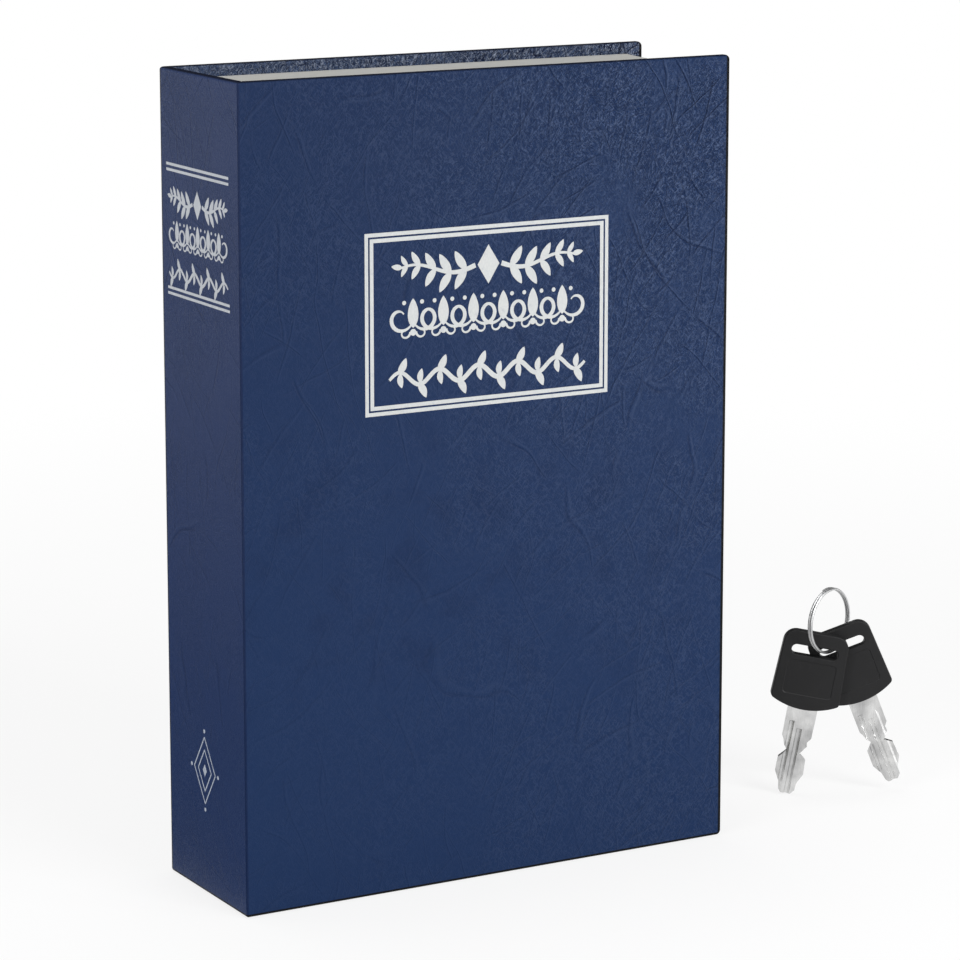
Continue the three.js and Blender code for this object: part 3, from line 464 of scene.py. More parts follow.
def solidMesh(name, points, faces, merge=0.0005, **shades):
    mesh = meshFrom(name, points, faces)
    for label, values in shades.items():
        mesh.attributes.new(label, "FLOAT", "POINT").data.foreach_set("value", values)
    outwards(mesh, merge)
    return mesh


# Faces of a sheet of rows; the last row may meet the first, and the ends of each row may meet
def gridFaces(rows, count, rowsMeet=False, endsMeet=True):
    faces = []
    for row in range(rows if rowsMeet else rows - 1):
        here, there = row * count, (row + 1) % rows * count
        for index in range(count if endsMeet else count - 1):
            after = (index + 1) % count
            faces.append((here + index, here + after, there + after, there + index))
    return faces


def endCaps(total, count):
    return [list(range(count)), list(range(total - 1, total - count - 1, -1))]


# Edge of a cover: how far in, how deep and how much painted shade at each ring
def edgeRings(radius, steps=6):
    rings = [(radius + 0.5, 0.0, 0.0)]
    for step in range(steps + 1):
        angle = math.pi / 2 * step / steps
        rings.append((radius * (1 - math.sin(angle)), radius * (1 - math.cos(angle)), step / steps))
    return rings


def applied(target):
    bpy.context.view_layer.update()
    graph = bpy.context.evaluated_depsgraph_get()
    mesh = bpy.data.meshes.new_from_object(target.evaluated_get(graph))
    target.modifiers.clear()
    old = target.data
    target.data = mesh
    bpy.data.meshes.remove(old)


def boxMesh(name, low, high):
    corners = [(x, y, z) for x in (low[0], high[0]) for y in (low[1], high[1]) for z in (low[2], high[2])]
    faces = [(0, 1, 3, 2), (4, 6, 7, 5), (0, 4, 5, 1), (2, 3, 7, 6), (0, 2, 6, 4), (1, 5, 7, 3)]
    return meshFrom(name, corners, faces)


def combined(target, tools, operation):
    for tool in tools:
        modifier = target.modifiers.new("cut", "BOOLEAN")
        modifier.operation = operation
        modifier.solver = "EXACT"
        modifier.object = tool
    applied(target)
    for tool in tools:
        bpy.data.objects.remove(tool)


def easedEdges(mesh, ease, steps, angle, merge=0.002):
    def edit(work):
        bmesh.ops.remove_doubles(work, verts=work.verts, dist=merge * mm)
        bmesh.ops.dissolve_limit(work, angle_limit=math.radians(0.5), verts=work.verts, edges=work.edges)
        sharp = [edge for edge in work.edges
                 if len(edge.link_faces) == 2 and edge.calc_face_angle(0) > math.radians(angle)]
        bmesh.ops.bevel(work, geom=sharp, offset=ease * mm, segments=steps, profile=0.5, affect="EDGES",
                        clamp_overlap=True)
    edited(mesh, edit)


# A copy of a CAD node with its sharp edges eased, to stand for that node
def easedCopy(node, name, material, ease, steps):
    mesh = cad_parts[node].data.copy()
    mesh.name = name
    easedEdges(mesh, ease, steps, 32, 0.001)
    smoothByAngle(mesh)
    made = newObject(mesh, material)
    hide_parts(node)
    return made


# Book case: a skin over boards, drawn as rings round a sheet and bent into its place

book = {
    "spineX": -81.0, "foreX": 81.0, "frontY": -50.5, "backY": 1.5, "height": 240.0,
    "thick": 3.0, "skin": 0.5, "turnIn": 15.0, "edgeRound": 0.85, "cornerRound": 1.5,
    "rearRound": 1.5, "creaseReach": 2.6, "creaseRound": 0.55,
}


def skinRings():
    thick, skin, turnIn = book["thick"], book["skin"], book["turnIn"]
    rings = edgeRings(book["edgeRound"])
    rings += [(inset, thick - depth, shade) for inset, depth, shade in reversed(rings)]
    return rings + [
        (turnIn - 0.3, thick, 0.0), (turnIn, thick - 0.12, 0.3), (turnIn + 0.05, thick - 0.25, 0.3),
        (turnIn, thick - skin, 0.0), (turnIn - 0.3, thick - skin, 0.0), (skin, thick - skin, 0.0),
        (skin, skin, 0.0), (skin + 0.5, skin, 0.0)]


def skinMesh(name, stations, reach, bend):
    height, cornerRound, rings = book["height"], book["cornerRound"], skinRings()
    cornerSteps = 8
    points, shades = [], []
    for inset, depth, shade in rings:
        radius = max(cornerRound - inset, 0.03)
        centre = cornerRound if inset <= cornerRound else inset + radius
        lower = [(station, inset) for station in stations]
        for step in range(cornerSteps + 1):
            angle = math.pi / 2 * step / cornerSteps
            lower.append((reach - centre + radius * math.sin(angle), centre - radius * math.cos(angle)))
        outline = lower + [(along, height - up) for along, up in reversed(lower)]
        points += [bend(along, depth, up) for along, up in outline]
        shades += [shade] * len(outline)
    count = 2 * (len(stations) + cornerSteps + 1)
    faces = gridFaces(len(rings), count, endsMeet=False)
    last = (len(rings) - 1) * count
    for index in range(count // 2 - 1):
        mirror = count - 1 - index
        faces.append((index, mirror, mirror - 1, index + 1))
        faces.append((last + index, last + index + 1, last + mirror - 1, last + mirror))
    faces.append([ring * count for ring in range(len(rings))]
                 + [ring * count + count - 1 for ring in range(len(rings) - 1, -1, -1)])
    mesh = solidMesh(name, points, faces, edgeShade=shades)
    smoothByAngle(mesh)
    return mesh


def coverBend(along, depth, up):
    return (along, book["frontY"] + depth, up)


coverStart = book["spineX"] + book["creaseReach"]
coverStations = [coverStart + (book["foreX"] - book["cornerRound"] - coverStart) * step / 12 for step in range(12)]
coverLeather = newObject(skinMesh("cover_leather", coverStations, book["foreX"], coverBend), leatherMaterial)
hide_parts("front_cover_skin")
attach(coverLeather, "front_cover")


# The case's sheet runs up the spine from the crease, round the rear corner and along the back
spineRun = book["backY"] - book["rearRound"] - (book["frontY"] + book["creaseReach"])
cornerRun = book["rearRound"] * math.pi / 2


def caseBend(along, depth, up):
    inner = (book["spineX"] + book["thick"], book["backY"] - book["thick"])
    if along <= spineRun:
        outer = (book["spineX"], book["frontY"] + book["creaseReach"] + along)
    elif along <= spineRun + cornerRun:
        angle = (along - spineRun) / book["rearRound"]
        outer = (book["spineX"] + book["rearRound"] * (1 - math.cos(angle)),
                 book["backY"] - book["rearRound"] * (1 - math.sin(angle)))
    else:
        outer = (book["spineX"] + book["rearRound"] + along - spineRun - cornerRun, book["backY"])
    far = (max(outer[0], inner[0]), min(outer[1], inner[1]))
    share = depth / book["thick"]
    return (outer[0] + (far[0] - outer[0]) * share, outer[1] + (far[1] - outer[1]) * share, up)


caseReach = spineRun + cornerRun + book["foreX"] - book["spineX"] - book["rearRound"]
caseStations = [spineRun * step / 6 for step in range(6)]
caseStations += [spineRun - 2.0, spineRun - 0.8]
caseStations += [spineRun + cornerRun * step / 8 for step in range(9)]
caseStations += [spineRun + cornerRun + 1.5 + step * 13 for step in range(12)]
caseLeather = newObject(skinMesh("case_leather", sorted(caseStations), caseReach, caseBend), leatherMaterial)
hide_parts("case_skin")
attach(caseLeather, "book_case")


def creaseMesh(name):
    reach, bendRound = book["creaseReach"], book["creaseRound"]
    inner = 1.0
    path = [(book["spineX"], book["frontY"] + reach - (reach - bendRound) * step / 4) for step in range(4)]
    for step in range(9):
        angle = math.pi / 2 * step / 8
        path.append((book["spineX"] + bendRound * (1 - math.cos(angle)),
                     book["frontY"] + bendRound * (1 - math.sin(angle))))
    path += [(book["spineX"] + bendRound + (reach - bendRound) * step / 4, book["frontY"]) for step in range(1, 5)]
    profile = edgeRings(book["edgeRound"]) + [(0.0, 1.0, 1.0), (0.5, 1.0, 0.5), (0.9, 0.5, 0.0)]
    heights = profile + [(book["height"] - inset, depth, shade) for inset, depth, shade in reversed(profile)]
    points, shades = [], []
    for outer in path:
        far = (max(outer[0], book["spineX"] + inner), max(outer[1], book["frontY"] + inner))
        for up, depth, shade in heights:
            share = depth / inner
            points.append((outer[0] + (far[0] - outer[0]) * share, outer[1] + (far[1] - outer[1]) * share, up))
            shades.append(shade)
    count = len(heights)
    mesh = solidMesh(name, points, gridFaces(len(path), count) + endCaps(len(points), count), edgeShade=shades)
    smoothByAngle(mesh, 50)
    return mesh


crease = newObject(creaseMesh("hinge_leather"), leatherMaterial)
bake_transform(crease)
print("book case made")


# Stamped foil: thin shapes drawn on the cover (across, up) and on the spine (from the crease back, up)

stamping = {
    "proud": 0.03, "sunk": 0.06, "step": 0.0006,
    "frameLow": (39.2, 142.4), "frameHigh": (119.9, 195.1), "outerLine": 1.1, "lineGap": 0.55, "innerLine": 1.15,
    "ruleLow": 6.5, "ruleHigh": 47.2, "ruleLine": 0.8, "rulePitch": 1.65, "topRule": 210.6, "bottomRule": 174.7,
}


def onCover(across, up, out):
    return (book["spineX"] + across, book["frontY"] - out, up)


def onSpine(across, up, out):
    return (book["spineX"] - out, book["frontY"] + across, up)


def onBench(across, up, out):
    return (across, -out, up)


# Closed outlines become thin slabs, each a trace further out than the last so that crossings stay clean
def slabs(outlines, place, first=0):
    shapes = []
    for number, outline in enumerate(outlines):
        top, count = stamping["proud"] + stamping["step"] * (first + number), len(outline)
        points = [place(u, v, out) for out in (top, -stamping["sunk"]) for u, v in outline]
        shapes.append((points, endCaps(2 * count, count) + gridFaces(2, count)))
    return joined(shapes)


def rectangle(low, high, inset=0):
    left, bottom, right, top = low[0] + inset, low[1] + inset, high[0] - inset, high[1] - inset
    return [(left, bottom), (right, bottom), (right, top), (left, top)]


def frameSlab(low, high, line, place):
    outlines = rectangle(low, high) + rectangle(low, high, line)
    points = [place(u, v, out) for out in (stamping["proud"], -stamping["sunk"]) for u, v in outlines]
    faces = []
    for index in range(4):
        after = (index + 1) % 4
        faces += [(index, after, 4 + after, 4 + index), (8 + index, 12 + index, 12 + after, 8 + after),
                  (index, 8 + index, 8 + after, after), (4 + index, 4 + after, 12 + after, 12 + index)]
    return points, faces


def joined(shapes):
    points, faces = [], []
    for morePoints, moreFaces in shapes:
        start = len(points)
        points += morePoints
        faces += [[start + index for index in face] for face in moreFaces]
    return points, faces


def foilObject(name, shapes, material, body):
    made = newObject(solidMesh(name, *joined(shapes), 0.0001), material)
    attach(made, body)


def leafOutline(root, length, width, lean, bend=0.0, steps=12):
    angle = math.radians(lean)
    left, right = [], []
    for step in range(steps + 1):
        share = step / steps
        half = width / 2 * math.sin(math.pi * share ** 0.85) ** 0.75 if 0 < step < steps else 0.0
        curve = bend * math.sin(math.pi * share)
        for side, row in ((1, left), (-1, right)):
            if side == -1 and step in (0, steps):
                continue
            sideways, along = curve + side * half, share * length
            row.append((root[0] + along * math.sin(angle) + sideways * math.cos(angle),
                        root[1] + along * math.cos(angle) - sideways * math.sin(angle)))
    return left + right[::-1]


def dotOutline(centre, radius, steps=16):
    return [(centre[0] + radius * math.cos(math.tau * step / steps),
             centre[1] + radius * math.sin(math.tau * step / steps)) for step in range(steps)]


def lozengeOutline(centre, wide, tall):
    return [(centre[0] - wide / 2, centre[1]), (centre[0], centre[1] - tall / 2),
            (centre[0] + wide / 2, centre[1]), (centre[0], centre[1] + tall / 2)]


# A stroke along a line is a chain of short four-sided tiles, so a tight curl never folds over itself
def strokeSlab(line, widths, place, lift=0.0):
    left, right = [], []
    for index, point in enumerate(line):
        before, after = line[max(index - 1, 0)], line[min(index + 1, len(line) - 1)]
        along = Vector((after[0] - before[0], after[1] - before[1])).normalized()
        half = widths[index] / 2
        left.append((point[0] - along.y * half, point[1] + along.x * half))
        right.append((point[0] + along.y * half, point[1] - along.x * half))
    count = len(line)
    points = [place(u, v, out) for out in (stamping["proud"] + lift, -stamping["sunk"]) for u, v in left + right]
    below = 2 * count
    faces = []
    for index in range(count - 1):
        l, r = index, count + index
        faces += [(l, l + 1, r + 1, r), (below + l, below + r, below + r + 1, below + l + 1),
                  (l, below + l, below + l + 1, l + 1), (r, r + 1, below + r + 1, below + r)]
    faces += [(0, count, below + count, below), (count - 1, below + count - 1, below + 2 * count - 1, 2 * count - 1)]
    return points, faces


def curl(centre, radius, tight, startAngle, sweep, steps=22):
    line = []
    for step in range(steps + 1):
        share = step / steps
        angle = math.radians(startAngle + sweep * share)
        reach = radius * (1 - share) + tight * share
        line.append((centre[0] + reach * math.cos(angle), centre[1] + reach * math.sin(angle)))
    return line


# One motif of the middle band, in shares of its height: a bud over a berry between two curls and two feet
def budShapes(tall, place, stroke):
    leaves = [leafOutline((0, tall * 0.24), tall * 0.74, tall * 0.3, 0), dotOutline((0, tall * 0.13), tall * 0.085)]
    leaves += [dotOutline((side * tall * 0.25, tall * 0.88), tall * 0.055) for side in (-1, 1)]
    shapes = [slabs(leaves, place)]
    for side in (-1, 1):
        line = [(side * x, y) for x, y in curl((tall * 0.36, tall * 0.5), tall * 0.36, tall * 0.14, 205, 290)]
        widths = [stroke * (0.45 + 0.75 * math.sin(math.pi * min(index / 20, 1))) for index in range(len(line))]
        shapes.append(strokeSlab(line, widths, place, 0.006 + 0.001 * side))
        foot = [(side * x, y) for x, y in curl((tall * 0.24, tall * 0.13), tall * 0.16, tall * 0.06, 175, 230)]
        widths = [stroke * 0.7 * (1 - 0.4 * index / len(foot)) for index in range(len(foot))]
        shapes.append(strokeSlab(foot, widths, place, 0.01 + 0.001 * side))
    return shapes


# A lozenge between two mirrored branches whose leaves shrink outwards, in shares of its height
def sprayShapes(ornament, place):
    centre, middle, reach, tall, stroke = [
        ornament[key] for key in ("centre", "sprayMiddle", "sprayReach", "sprayTall", "sprayStroke")]
    leaves = [lozengeOutline((centre, middle), tall * 0.6, tall * 0.95)]
    shapes = []
    for side in (-1, 1):
        line = []
        for step in range(25):
            share = step / 24
            line.append((centre + side * (tall * 0.36 + (reach - tall * 0.36) * share),
                         middle - tall * 0.13 * math.sin(math.tau * share * 0.9)))
        widths = [stroke * (1 - 0.55 * step / 24) for step in range(25)]
        shapes.append(strokeSlab(line, widths, place, 0.02 + 0.001 * side))
        for step, size in ((3, 1.0), (8, 1.0), (13, 0.88), (18, 0.72), (22, 0.55)):
            x, y = line[step]
            leaves.append(leafOutline((x, y), tall * 0.56 * size, tall * 0.22 * size, side * 34, side * 0.2))
            leaves.append(leafOutline((x, y), tall * 0.56 * size, tall * 0.22 * size, side * 146, -side * 0.2))
        leaves.append(leafOutline((line[24][0] - side * 0.3, line[24][1]), tall * 0.3, tall * 0.14, side * 80))
    return shapes + [slabs(leaves, place)]


# A running stem with a leaf and a smaller one at each crest
def vineShapes(ornament, place):
    low, high, middle, swing, waves, stroke, leafLength, leafWidth = [ornament[key] for key in (
        "vineLow", "vineHigh", "vineMiddle", "swing", "waves", "vineStroke", "leafLength", "leafWidth")]
    span, steps = high - low, waves * 20
    line = [(low + span * step / steps, middle + swing * math.sin(math.tau * waves * step / steps))
            for step in range(steps + 1)]
    widths = [stroke * (0.6 + 0.4 * math.sin(math.pi * step / steps) ** 0.5) for step in range(steps + 1)]
    leaves = []
    for half in range(2 * waves):
        across = low + span * (half + 0.5) / (2 * waves)
        side = 1 if half % 2 == 0 else -1
        root = (across - 0.3, middle + side * swing * 0.85)
        leaves.append(leafOutline(root, leafLength, leafWidth, 30 if side == 1 else 150, 0.3 * side))
        leaves.append(leafOutline((across + 0.2, middle + side * swing * 0.8), leafLength * 0.85,
                                  leafWidth * 0.85, 172 if side == 1 else 8, 0.25 * side))
    return [strokeSlab(line, widths, place), slabs(leaves, place, 20)]


low, high = stamping["frameLow"], stamping["frameHigh"]
step = stamping["outerLine"] + stamping["lineGap"]
foilObject("cover_frame_foil", [
    frameSlab(low, high, stamping["outerLine"], onCover),
    frameSlab((low[0] + step, low[1] + step), (high[0] - step, high[1] - step), stamping["innerLine"], onCover),
], foilMaterial, "front_cover")

coverOrnament = {
    "centre": 79.5, "sprayMiddle": 183.6, "sprayReach": 28.5, "sprayTall": 12.0, "budFoot": 164.2, "budTall": 11.6,
    "budPitch": 9.9, "buds": 6, "vineMiddle": 152.4, "vineLow": 47.0, "vineHigh": 112.0, "swing": 2.0, "waves": 5,
    "sprayStroke": 1.45, "budStroke": 1.0, "vineStroke": 1.45, "leafLength": 5.0, "leafWidth": 2.3,
}
spineOrnament = {
    "centre": 26.85, "sprayMiddle": 202.6, "sprayReach": 17.5, "sprayTall": 8.6, "budFoot": 188.4, "budTall": 8.4,
    "budPitch": 6.9, "buds": 5, "vineMiddle": 181.3, "vineLow": 7.5, "vineHigh": 46.2, "swing": 1.5, "waves": 4,
    "sprayStroke": 1.05, "budStroke": 0.75, "vineStroke": 1.0, "leafLength": 3.6, "leafWidth": 1.6,
}
foilObject("cover_spray_foil", sprayShapes(coverOrnament, onCover), foilMaterial, "front_cover")
foilObject("cover_vine_foil", vineShapes(coverOrnament, onCover), foilMaterial, "front_cover")

rules = [rectangle((stamping["ruleLow"], bottom), (stamping["ruleHigh"], bottom + stamping["ruleLine"]))
         for base in (stamping["topRule"], stamping["bottomRule"]) for bottom in (base, base + stamping["rulePitch"])]
foilObject("spine_rule_foil", [slabs(rules, onSpine)], spineFoilMaterial, "book_case")
foilObject("spine_spray_foil", sprayShapes(spineOrnament, onSpine), spineFoilMaterial, "book_case")
foilObject("spine_vine_foil", vineShapes(spineOrnament, onSpine), spineFoilMaterial, "book_case")

emblem = {
    "centre": (27.0, 37.0), "wide": 14.0, "tall": 20.0, "line": 0.45, "inner": 0.62, "heart": (2.6, 3.7),
    "dots": ((-8.8, 0), (8.8, 0), (0, -11.8), (0, 11.8)), "dot": 0.6,
}


def lozengeLines(share, place, lift):
    corners = lozengeOutline(emblem["centre"], emblem["wide"] * share, emblem["tall"] * share)
    shapes = []
    for index in range(4):
        a, b = corners[index], corners[(index + 1) % 4]
        line = [(a[0] + (b[0] - a[0]) * part / 4, a[1] + (b[1] - a[1]) * part / 4) for part in range(5)]
        shapes.append(strokeSlab(line, [emblem["line"]] * 5, place, lift + 0.001 * index))
    return shapes


emblemDots = [lozengeOutline(emblem["centre"], *emblem["heart"])]
emblemDots += [dotOutline((emblem["centre"][0] + across, emblem["centre"][1] + up), emblem["dot"])
               for across, up in emblem["dots"]]
foilObject("spine_emblem_foil", lozengeLines(1.0, onSpine, 0.0) + lozengeLines(emblem["inner"], onSpine, 0.006)
           + [slabs(emblemDots, onSpine, 20)], greyFoilMaterial, "book_case")


# Geometry Nodes groups, applied to their objects as soon as they are made

class Group(Tree):
    def __init__(self, name, sockets):
        group = bpy.data.node_groups.new(name, "GeometryNodeTree")
        group.interface.new_socket("Geometry", in_out="INPUT", socket_type="NodeSocketGeometry")
        self.keys = {label: group.interface.new_socket(label, in_out="INPUT", socket_type=kind).identifier
                     for label, kind in sockets.items()}
        group.interface.new_socket("Geometry", in_out="OUTPUT", socket_type="NodeSocketGeometry")
        super().__init__(group)
        self.group, self.source = group, self.nodes.new("NodeGroupInput")

    def given(self, label):
        return Value(self, self.source.outputs[label])

    def painted(self, geometry, material):
        real = self.node("GeometryNodeRealizeInstances", {}, {"Geometry": geometry})
        paint = self.node("GeometryNodeSetMaterial", {}, {"Geometry": real, "Material": material})
        self.links.new(paint.socket, self.nodes.new("NodeGroupOutput").inputs["Geometry"])
        return self

    def applyTo(self, target, **values):
        modifier = target.modifiers.new(self.group.name, "NODES")
        modifier.node_group = self.group
        for label, value in values.items():
            modifier[self.keys[label]] = value
        applied(target)


# Copies of one template, set on points and turned into one mesh
def copiesGroup(name, template, material):
    tree = Group(name, {"Size": "NodeSocketFloat"})
    shape = tree.node("GeometryNodeObjectInfo", {}, {"Object": template}, "Geometry")
    turn = tree.node("GeometryNodeInputNamedAttribute", {"data_type": "FLOAT_VECTOR"}, {"Name": "turn"})
    return tree.painted(tree.node("GeometryNodeInstanceOnPoints", {}, {
        "Points": tree.given("Geometry"), "Instance": shape, "Scale": tree.given("Size"),
        "Rotation": tree.node("FunctionNodeEulerToRotation", {}, {0: turn})}), material)


def copiesObject(name, templateMesh, places, material, body, smooth=None):
    template = bpy.data.objects.new(name + "_template", templateMesh)
    scene.collection.objects.link(template)
    points = bpy.data.meshes.new(name)
    points.from_pydata([tuple(value * mm for value in place) for place, turn in places], [], [])
    turns = [math.radians(value) for place, turn in places for value in turn]
    points.attributes.new("turn", "FLOAT_VECTOR", "POINT").data.foreach_set("vector", turns)
    made = bpy.data.objects.new(name, points)
    scene.collection.objects.link(made)
    copiesGroup(name + "_copies", template, material).applyTo(made, Size=1.0)
    bpy.data.objects.remove(template)
    if smooth:
        smoothByAngle(made.data, smooth)
    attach(made, body)
    return made


def budBand(name, ornament, place, turn, material, body):
    shapes = budShapes(ornament["budTall"], onBench, ornament["budStroke"])
    template = solidMesh(name + "_bud", *joined(shapes), 0.0001)
    places = []
    for index in range(ornament["buds"]):
        across = ornament["centre"] + (index - (ornament["buds"] - 1) / 2) * ornament["budPitch"]
        places.append((place(across, ornament["budFoot"], 0.0), turn))
    copiesObject(name, template, places, material, body)


budBand("cover_bud_foil", coverOrnament, onCover, (0, 0, 0), foilMaterial, "front_cover")
budBand("spine_bud_foil", spineOrnament, onSpine, (0, 0, -90), spineFoilMaterial, "book_case")
print("foil made")


# Page block: the CAD frame joined with a shell whose page lines are pressed in by Geometry Nodes

pages = {
    "spineX": -77.95, "foreX": 75.0, "hollow": 2.5, "frontY": -46.65, "backY": -1.55, "low": 3.6, "high": 236.4,
    "proud": 0.12, "inside": 1.4, "coreInset": 0.8, "rounding": 1.5, "rowPitch": 0.13,
    "linePitch": 0.94, "lineDepth": 0.12, "lineShare": 0.38, "ripple": 0.015, "seed": 7,
}


def pageEdgeX(y):
    half = (pages["backY"] - pages["frontY"]) / 2
    centre = (pages["backY"] + pages["frontY"]) / 2
    radius = (half ** 2 + pages["hollow"] ** 2) / (2 * pages["hollow"])
    dip = math.sqrt(max(radius ** 2 - (y - centre) ** 2, 0)) - (radius - pages["hollow"])
    nearEnd = min(y - pages["frontY"], pages["backY"] - y)
    eased = 0.6 * (1 - nearEnd / pages["rounding"]) ** 2 if nearEnd < pages["rounding"] else 0.0
    return pages["foreX"] - dip - eased


def pageShellMesh(name):
    rows = int((pages["backY"] - pages["frontY"]) / pages["rowPitch"])
    lengthSteps, heightSteps = 20, 30
    outline = [(step / lengthSteps, "head") for step in range(lengthSteps + 1)]
    outline += [(step / heightSteps, "fore") for step in range(1, heightSteps)]
    outline += [(step / lengthSteps, "tail") for step in range(lengthSteps + 1)]
    points, outer = [], []

    def loop(y, grow, wobble):
        edge = pageEdgeX(y) + grow
        row = []
        for share, side in outline:
            ripple = wobble * math.sin(share * 17 + y * 1.3) * math.sin(share * 5.1 + y * 0.7)
            if side == "head":
                row.append((pages["spineX"] + (edge - pages["spineX"]) * share, y, pages["high"] + grow + ripple))
            elif side == "fore":
                top, bottom = pages["high"] + grow, pages["low"] - grow
                row.append((edge + ripple, y, top + (bottom - top) * share))
            else:
                row.append((edge + (pages["spineX"] - edge) * share, y, pages["low"] - grow + ripple))
        return row

    for row in range(rows + 1):
        points += loop(pages["frontY"] + (pages["backY"] - pages["frontY"]) * row / rows, pages["proud"],
                       pages["ripple"])
        outer += [1.0] * len(outline)
    for y in (pages["backY"], pages["frontY"]):
        points += loop(y, -pages["inside"], 0.0)
        outer += [0.0] * len(outline)
    count, total = len(outline), rows + 3
    faces = gridFaces(total, count, rowsMeet=True, endsMeet=False)
    faces.append([row * count for row in range(total)])
    faces.append([row * count + count - 1 for row in range(total - 1, -1, -1)])
    return solidMesh(name, points, faces, 0, outer=outer)


def pageCore():
    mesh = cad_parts["page_frame"].data.copy()
    outwards(mesh, 0.001)
    for point in mesh.vertices:
        up, across = point.co.z / mm, point.co.x / mm
        if up > pages["high"] - 0.1:
            point.co.z = (pages["high"] - pages["coreInset"]) * mm
        elif up < pages["low"] + 0.1:
            point.co.z = (pages["low"] + pages["coreInset"]) * mm
        if across > pages["foreX"] - pages["hollow"] - 0.2:
            point.co.x -= pages["coreInset"] * mm
    return newObject(mesh, pageMaterial)


def pageLineGroup(name, material):
    tree = Group(name, {"Pitch": "NodeSocketFloat", "Depth": "NodeSocketFloat", "Seed": "NodeSocketInt"})
    pitch, depth, seed = [tree.given(label) for label in tree.keys]
    leaf = tree.parts(tree.node("GeometryNodeInputPosition"))[1] / pitch + seed * 0.37
    number = tree.maths("FLOOR", leaf)
    share = leaf - number
    chance = tree.node("FunctionNodeRandomValue", {"data_type": "FLOAT"}, {2: 0.35, 3: 1.0, 7: number, 8: seed}, 1)
    press = ((share - 0.5).size() * 2 - (1 - pages["lineShare"])).larger(0) / pages["lineShare"]
    groove = press * press * chance
    outer = tree.node("GeometryNodeInputNamedAttribute", {"data_type": "FLOAT"}, {"Name": "outer"})
    normal = tree.node("GeometryNodeInputNormal")
    push = tree.node("ShaderNodeVectorMath", {"operation": "SCALE"}, {
        0: normal, "Scale": groove * depth * outer * -1})
    lines = tree.node("GeometryNodeSetPosition", {}, {"Geometry": tree.given("Geometry"), "Offset": push})
    return tree.painted(tree.node("GeometryNodeStoreNamedAttribute", {"data_type": "FLOAT"}, {
        "Name": "grooveShade", "Geometry": lines, "Value": groove * outer}), material)


pageBlock = newObject(pageShellMesh("page_block"), pageMaterial)
pageLineGroup("page_lines", pageMaterial).applyTo(
    pageBlock, Pitch=pages["linePitch"] * mm, Depth=pages["lineDepth"] * mm, Seed=pages["seed"])
combined(pageBlock, [pageCore()], "UNION")
smoothByAngle(pageBlock.data, 25)
dressed(pageBlock.data, pageMaterial)
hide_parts("page_frame")
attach(pageBlock, "book_case")
print("page block made:", len(pageBlock.data.polygons), "faces")


# Steel box, lid, hinges and keeper, with pressed edges

hinges = ("lower_hinge", "upper_hinge")
steelwork = (
    ("coated", powderMaterial, "black_steel", 0.35, 2, (("safe_box", "book_case"),)),
    ("coated", powderMaterial, "black_steel", 0.4, 2, (("safe_lid", "safe_lid"),)),
    ("coated", powderMaterial, "black_steel", 0.22, 2, (
        ("strike_bracket", "book_case"), ("lower_hinge_box_leaf", "book_case"), ("upper_hinge_box_leaf", "book_case"),
        ("lower_hinge_lid_leaf", "safe_lid"), ("upper_hinge_lid_leaf", "safe_lid"))),
    ("plated", zincMaterial, "bright_steel", 0.15, 2, (
        ("lower_hinge_pin", "book_case"), ("upper_hinge_pin", "book_case"), ("lock_nut", "safe_lid"),
        ("lock_cam", "lock_plug"), ("cam_screw", "lock_plug"))),
    ("chromed", chromeMaterial, "lock_chrome", 0.3, 3, (("lock_body", "safe_lid"), ("lock_plug", "lock_plug"))),
)
for ending, material, slotName, ease, steps, pieces in steelwork:
    for node, body in pieces:
        piece = easedCopy(node, f"{node}_{ending}", material, ease, steps)
        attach(piece, body)


# Turned rivets, copied to their places by Geometry Nodes

def turnedMesh(name, profile, steps=24):
    points = []
    for radius, up in profile:
        points += [(radius * math.cos(math.tau * step / steps), radius * math.sin(math.tau * step / steps), up)
                   for step in range(steps)]
    return solidMesh(name, points, gridFaces(len(profile), steps) + endCaps(len(points), steps))


rivet = {"head": 2.4, "rim": 2.3, "edge": 0.12, "rise": 0.62, "shank": 1.2, "clench": 2.0, "clenchEnd": 1.7,
         "clenchDeep": 0.35, "endDeep": 0.6}
# Name, grip, body, nodes, and the axis, place and turn of the face under the heads
rivetSets = (
    ("lid_rivets", 2.2, "safe_lid", [f"{hinge}_lid_rivet_{side}" for hinge in hinges for side in ("low", "high")],
     1, -45.9, (90, 0, 0)),
    ("box_rivets", 2.0, "book_case", [f"{hinge}_box_rivet_{side}" for hinge in hinges for side in ("low", "high")],
     0, -70.0, (0, -90, 0)),
    ("strike_rivets", 2.2, "book_case", ["strike_rivet_low", "strike_rivet_high"], 0, 62.8, (0, -90, 0)),
)


def rivetProfile(grip):
    end, clench, shank = -grip - rivet["endDeep"], rivet["clench"], rivet["shank"]
    head = [(rivet["head"] * math.cos(math.radians(angle)),
             rivet["edge"] + rivet["rise"] * math.sin(math.radians(angle))) for angle in range(0, 90, 15)]
    return ([(0.02, end), (rivet["clenchEnd"], end), (clench, -grip - rivet["clenchDeep"]), (clench, -grip),
             (shank, -grip), (shank, 0.0), (rivet["rim"], 0.0)] + head + [(0.02, rivet["edge"] + rivet["rise"])])


for name, grip, body, nodes, axis, face, turn in rivetSets:
    places = []
    for node in nodes:
        lowCorner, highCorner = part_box(node)
        place = [(low + high) / 2 / mm for low, high in zip(lowCorner, highCorner)]
        place[axis] = face
        places.append((place, turn))
    rivets = copiesObject(name, turnedMesh(name, rivetProfile(grip)), places, zincMaterial, body, 38)
    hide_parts(*nodes)
print("steelwork made")


# Keys: drawn tip down with the tip at the origin, then set on the ring

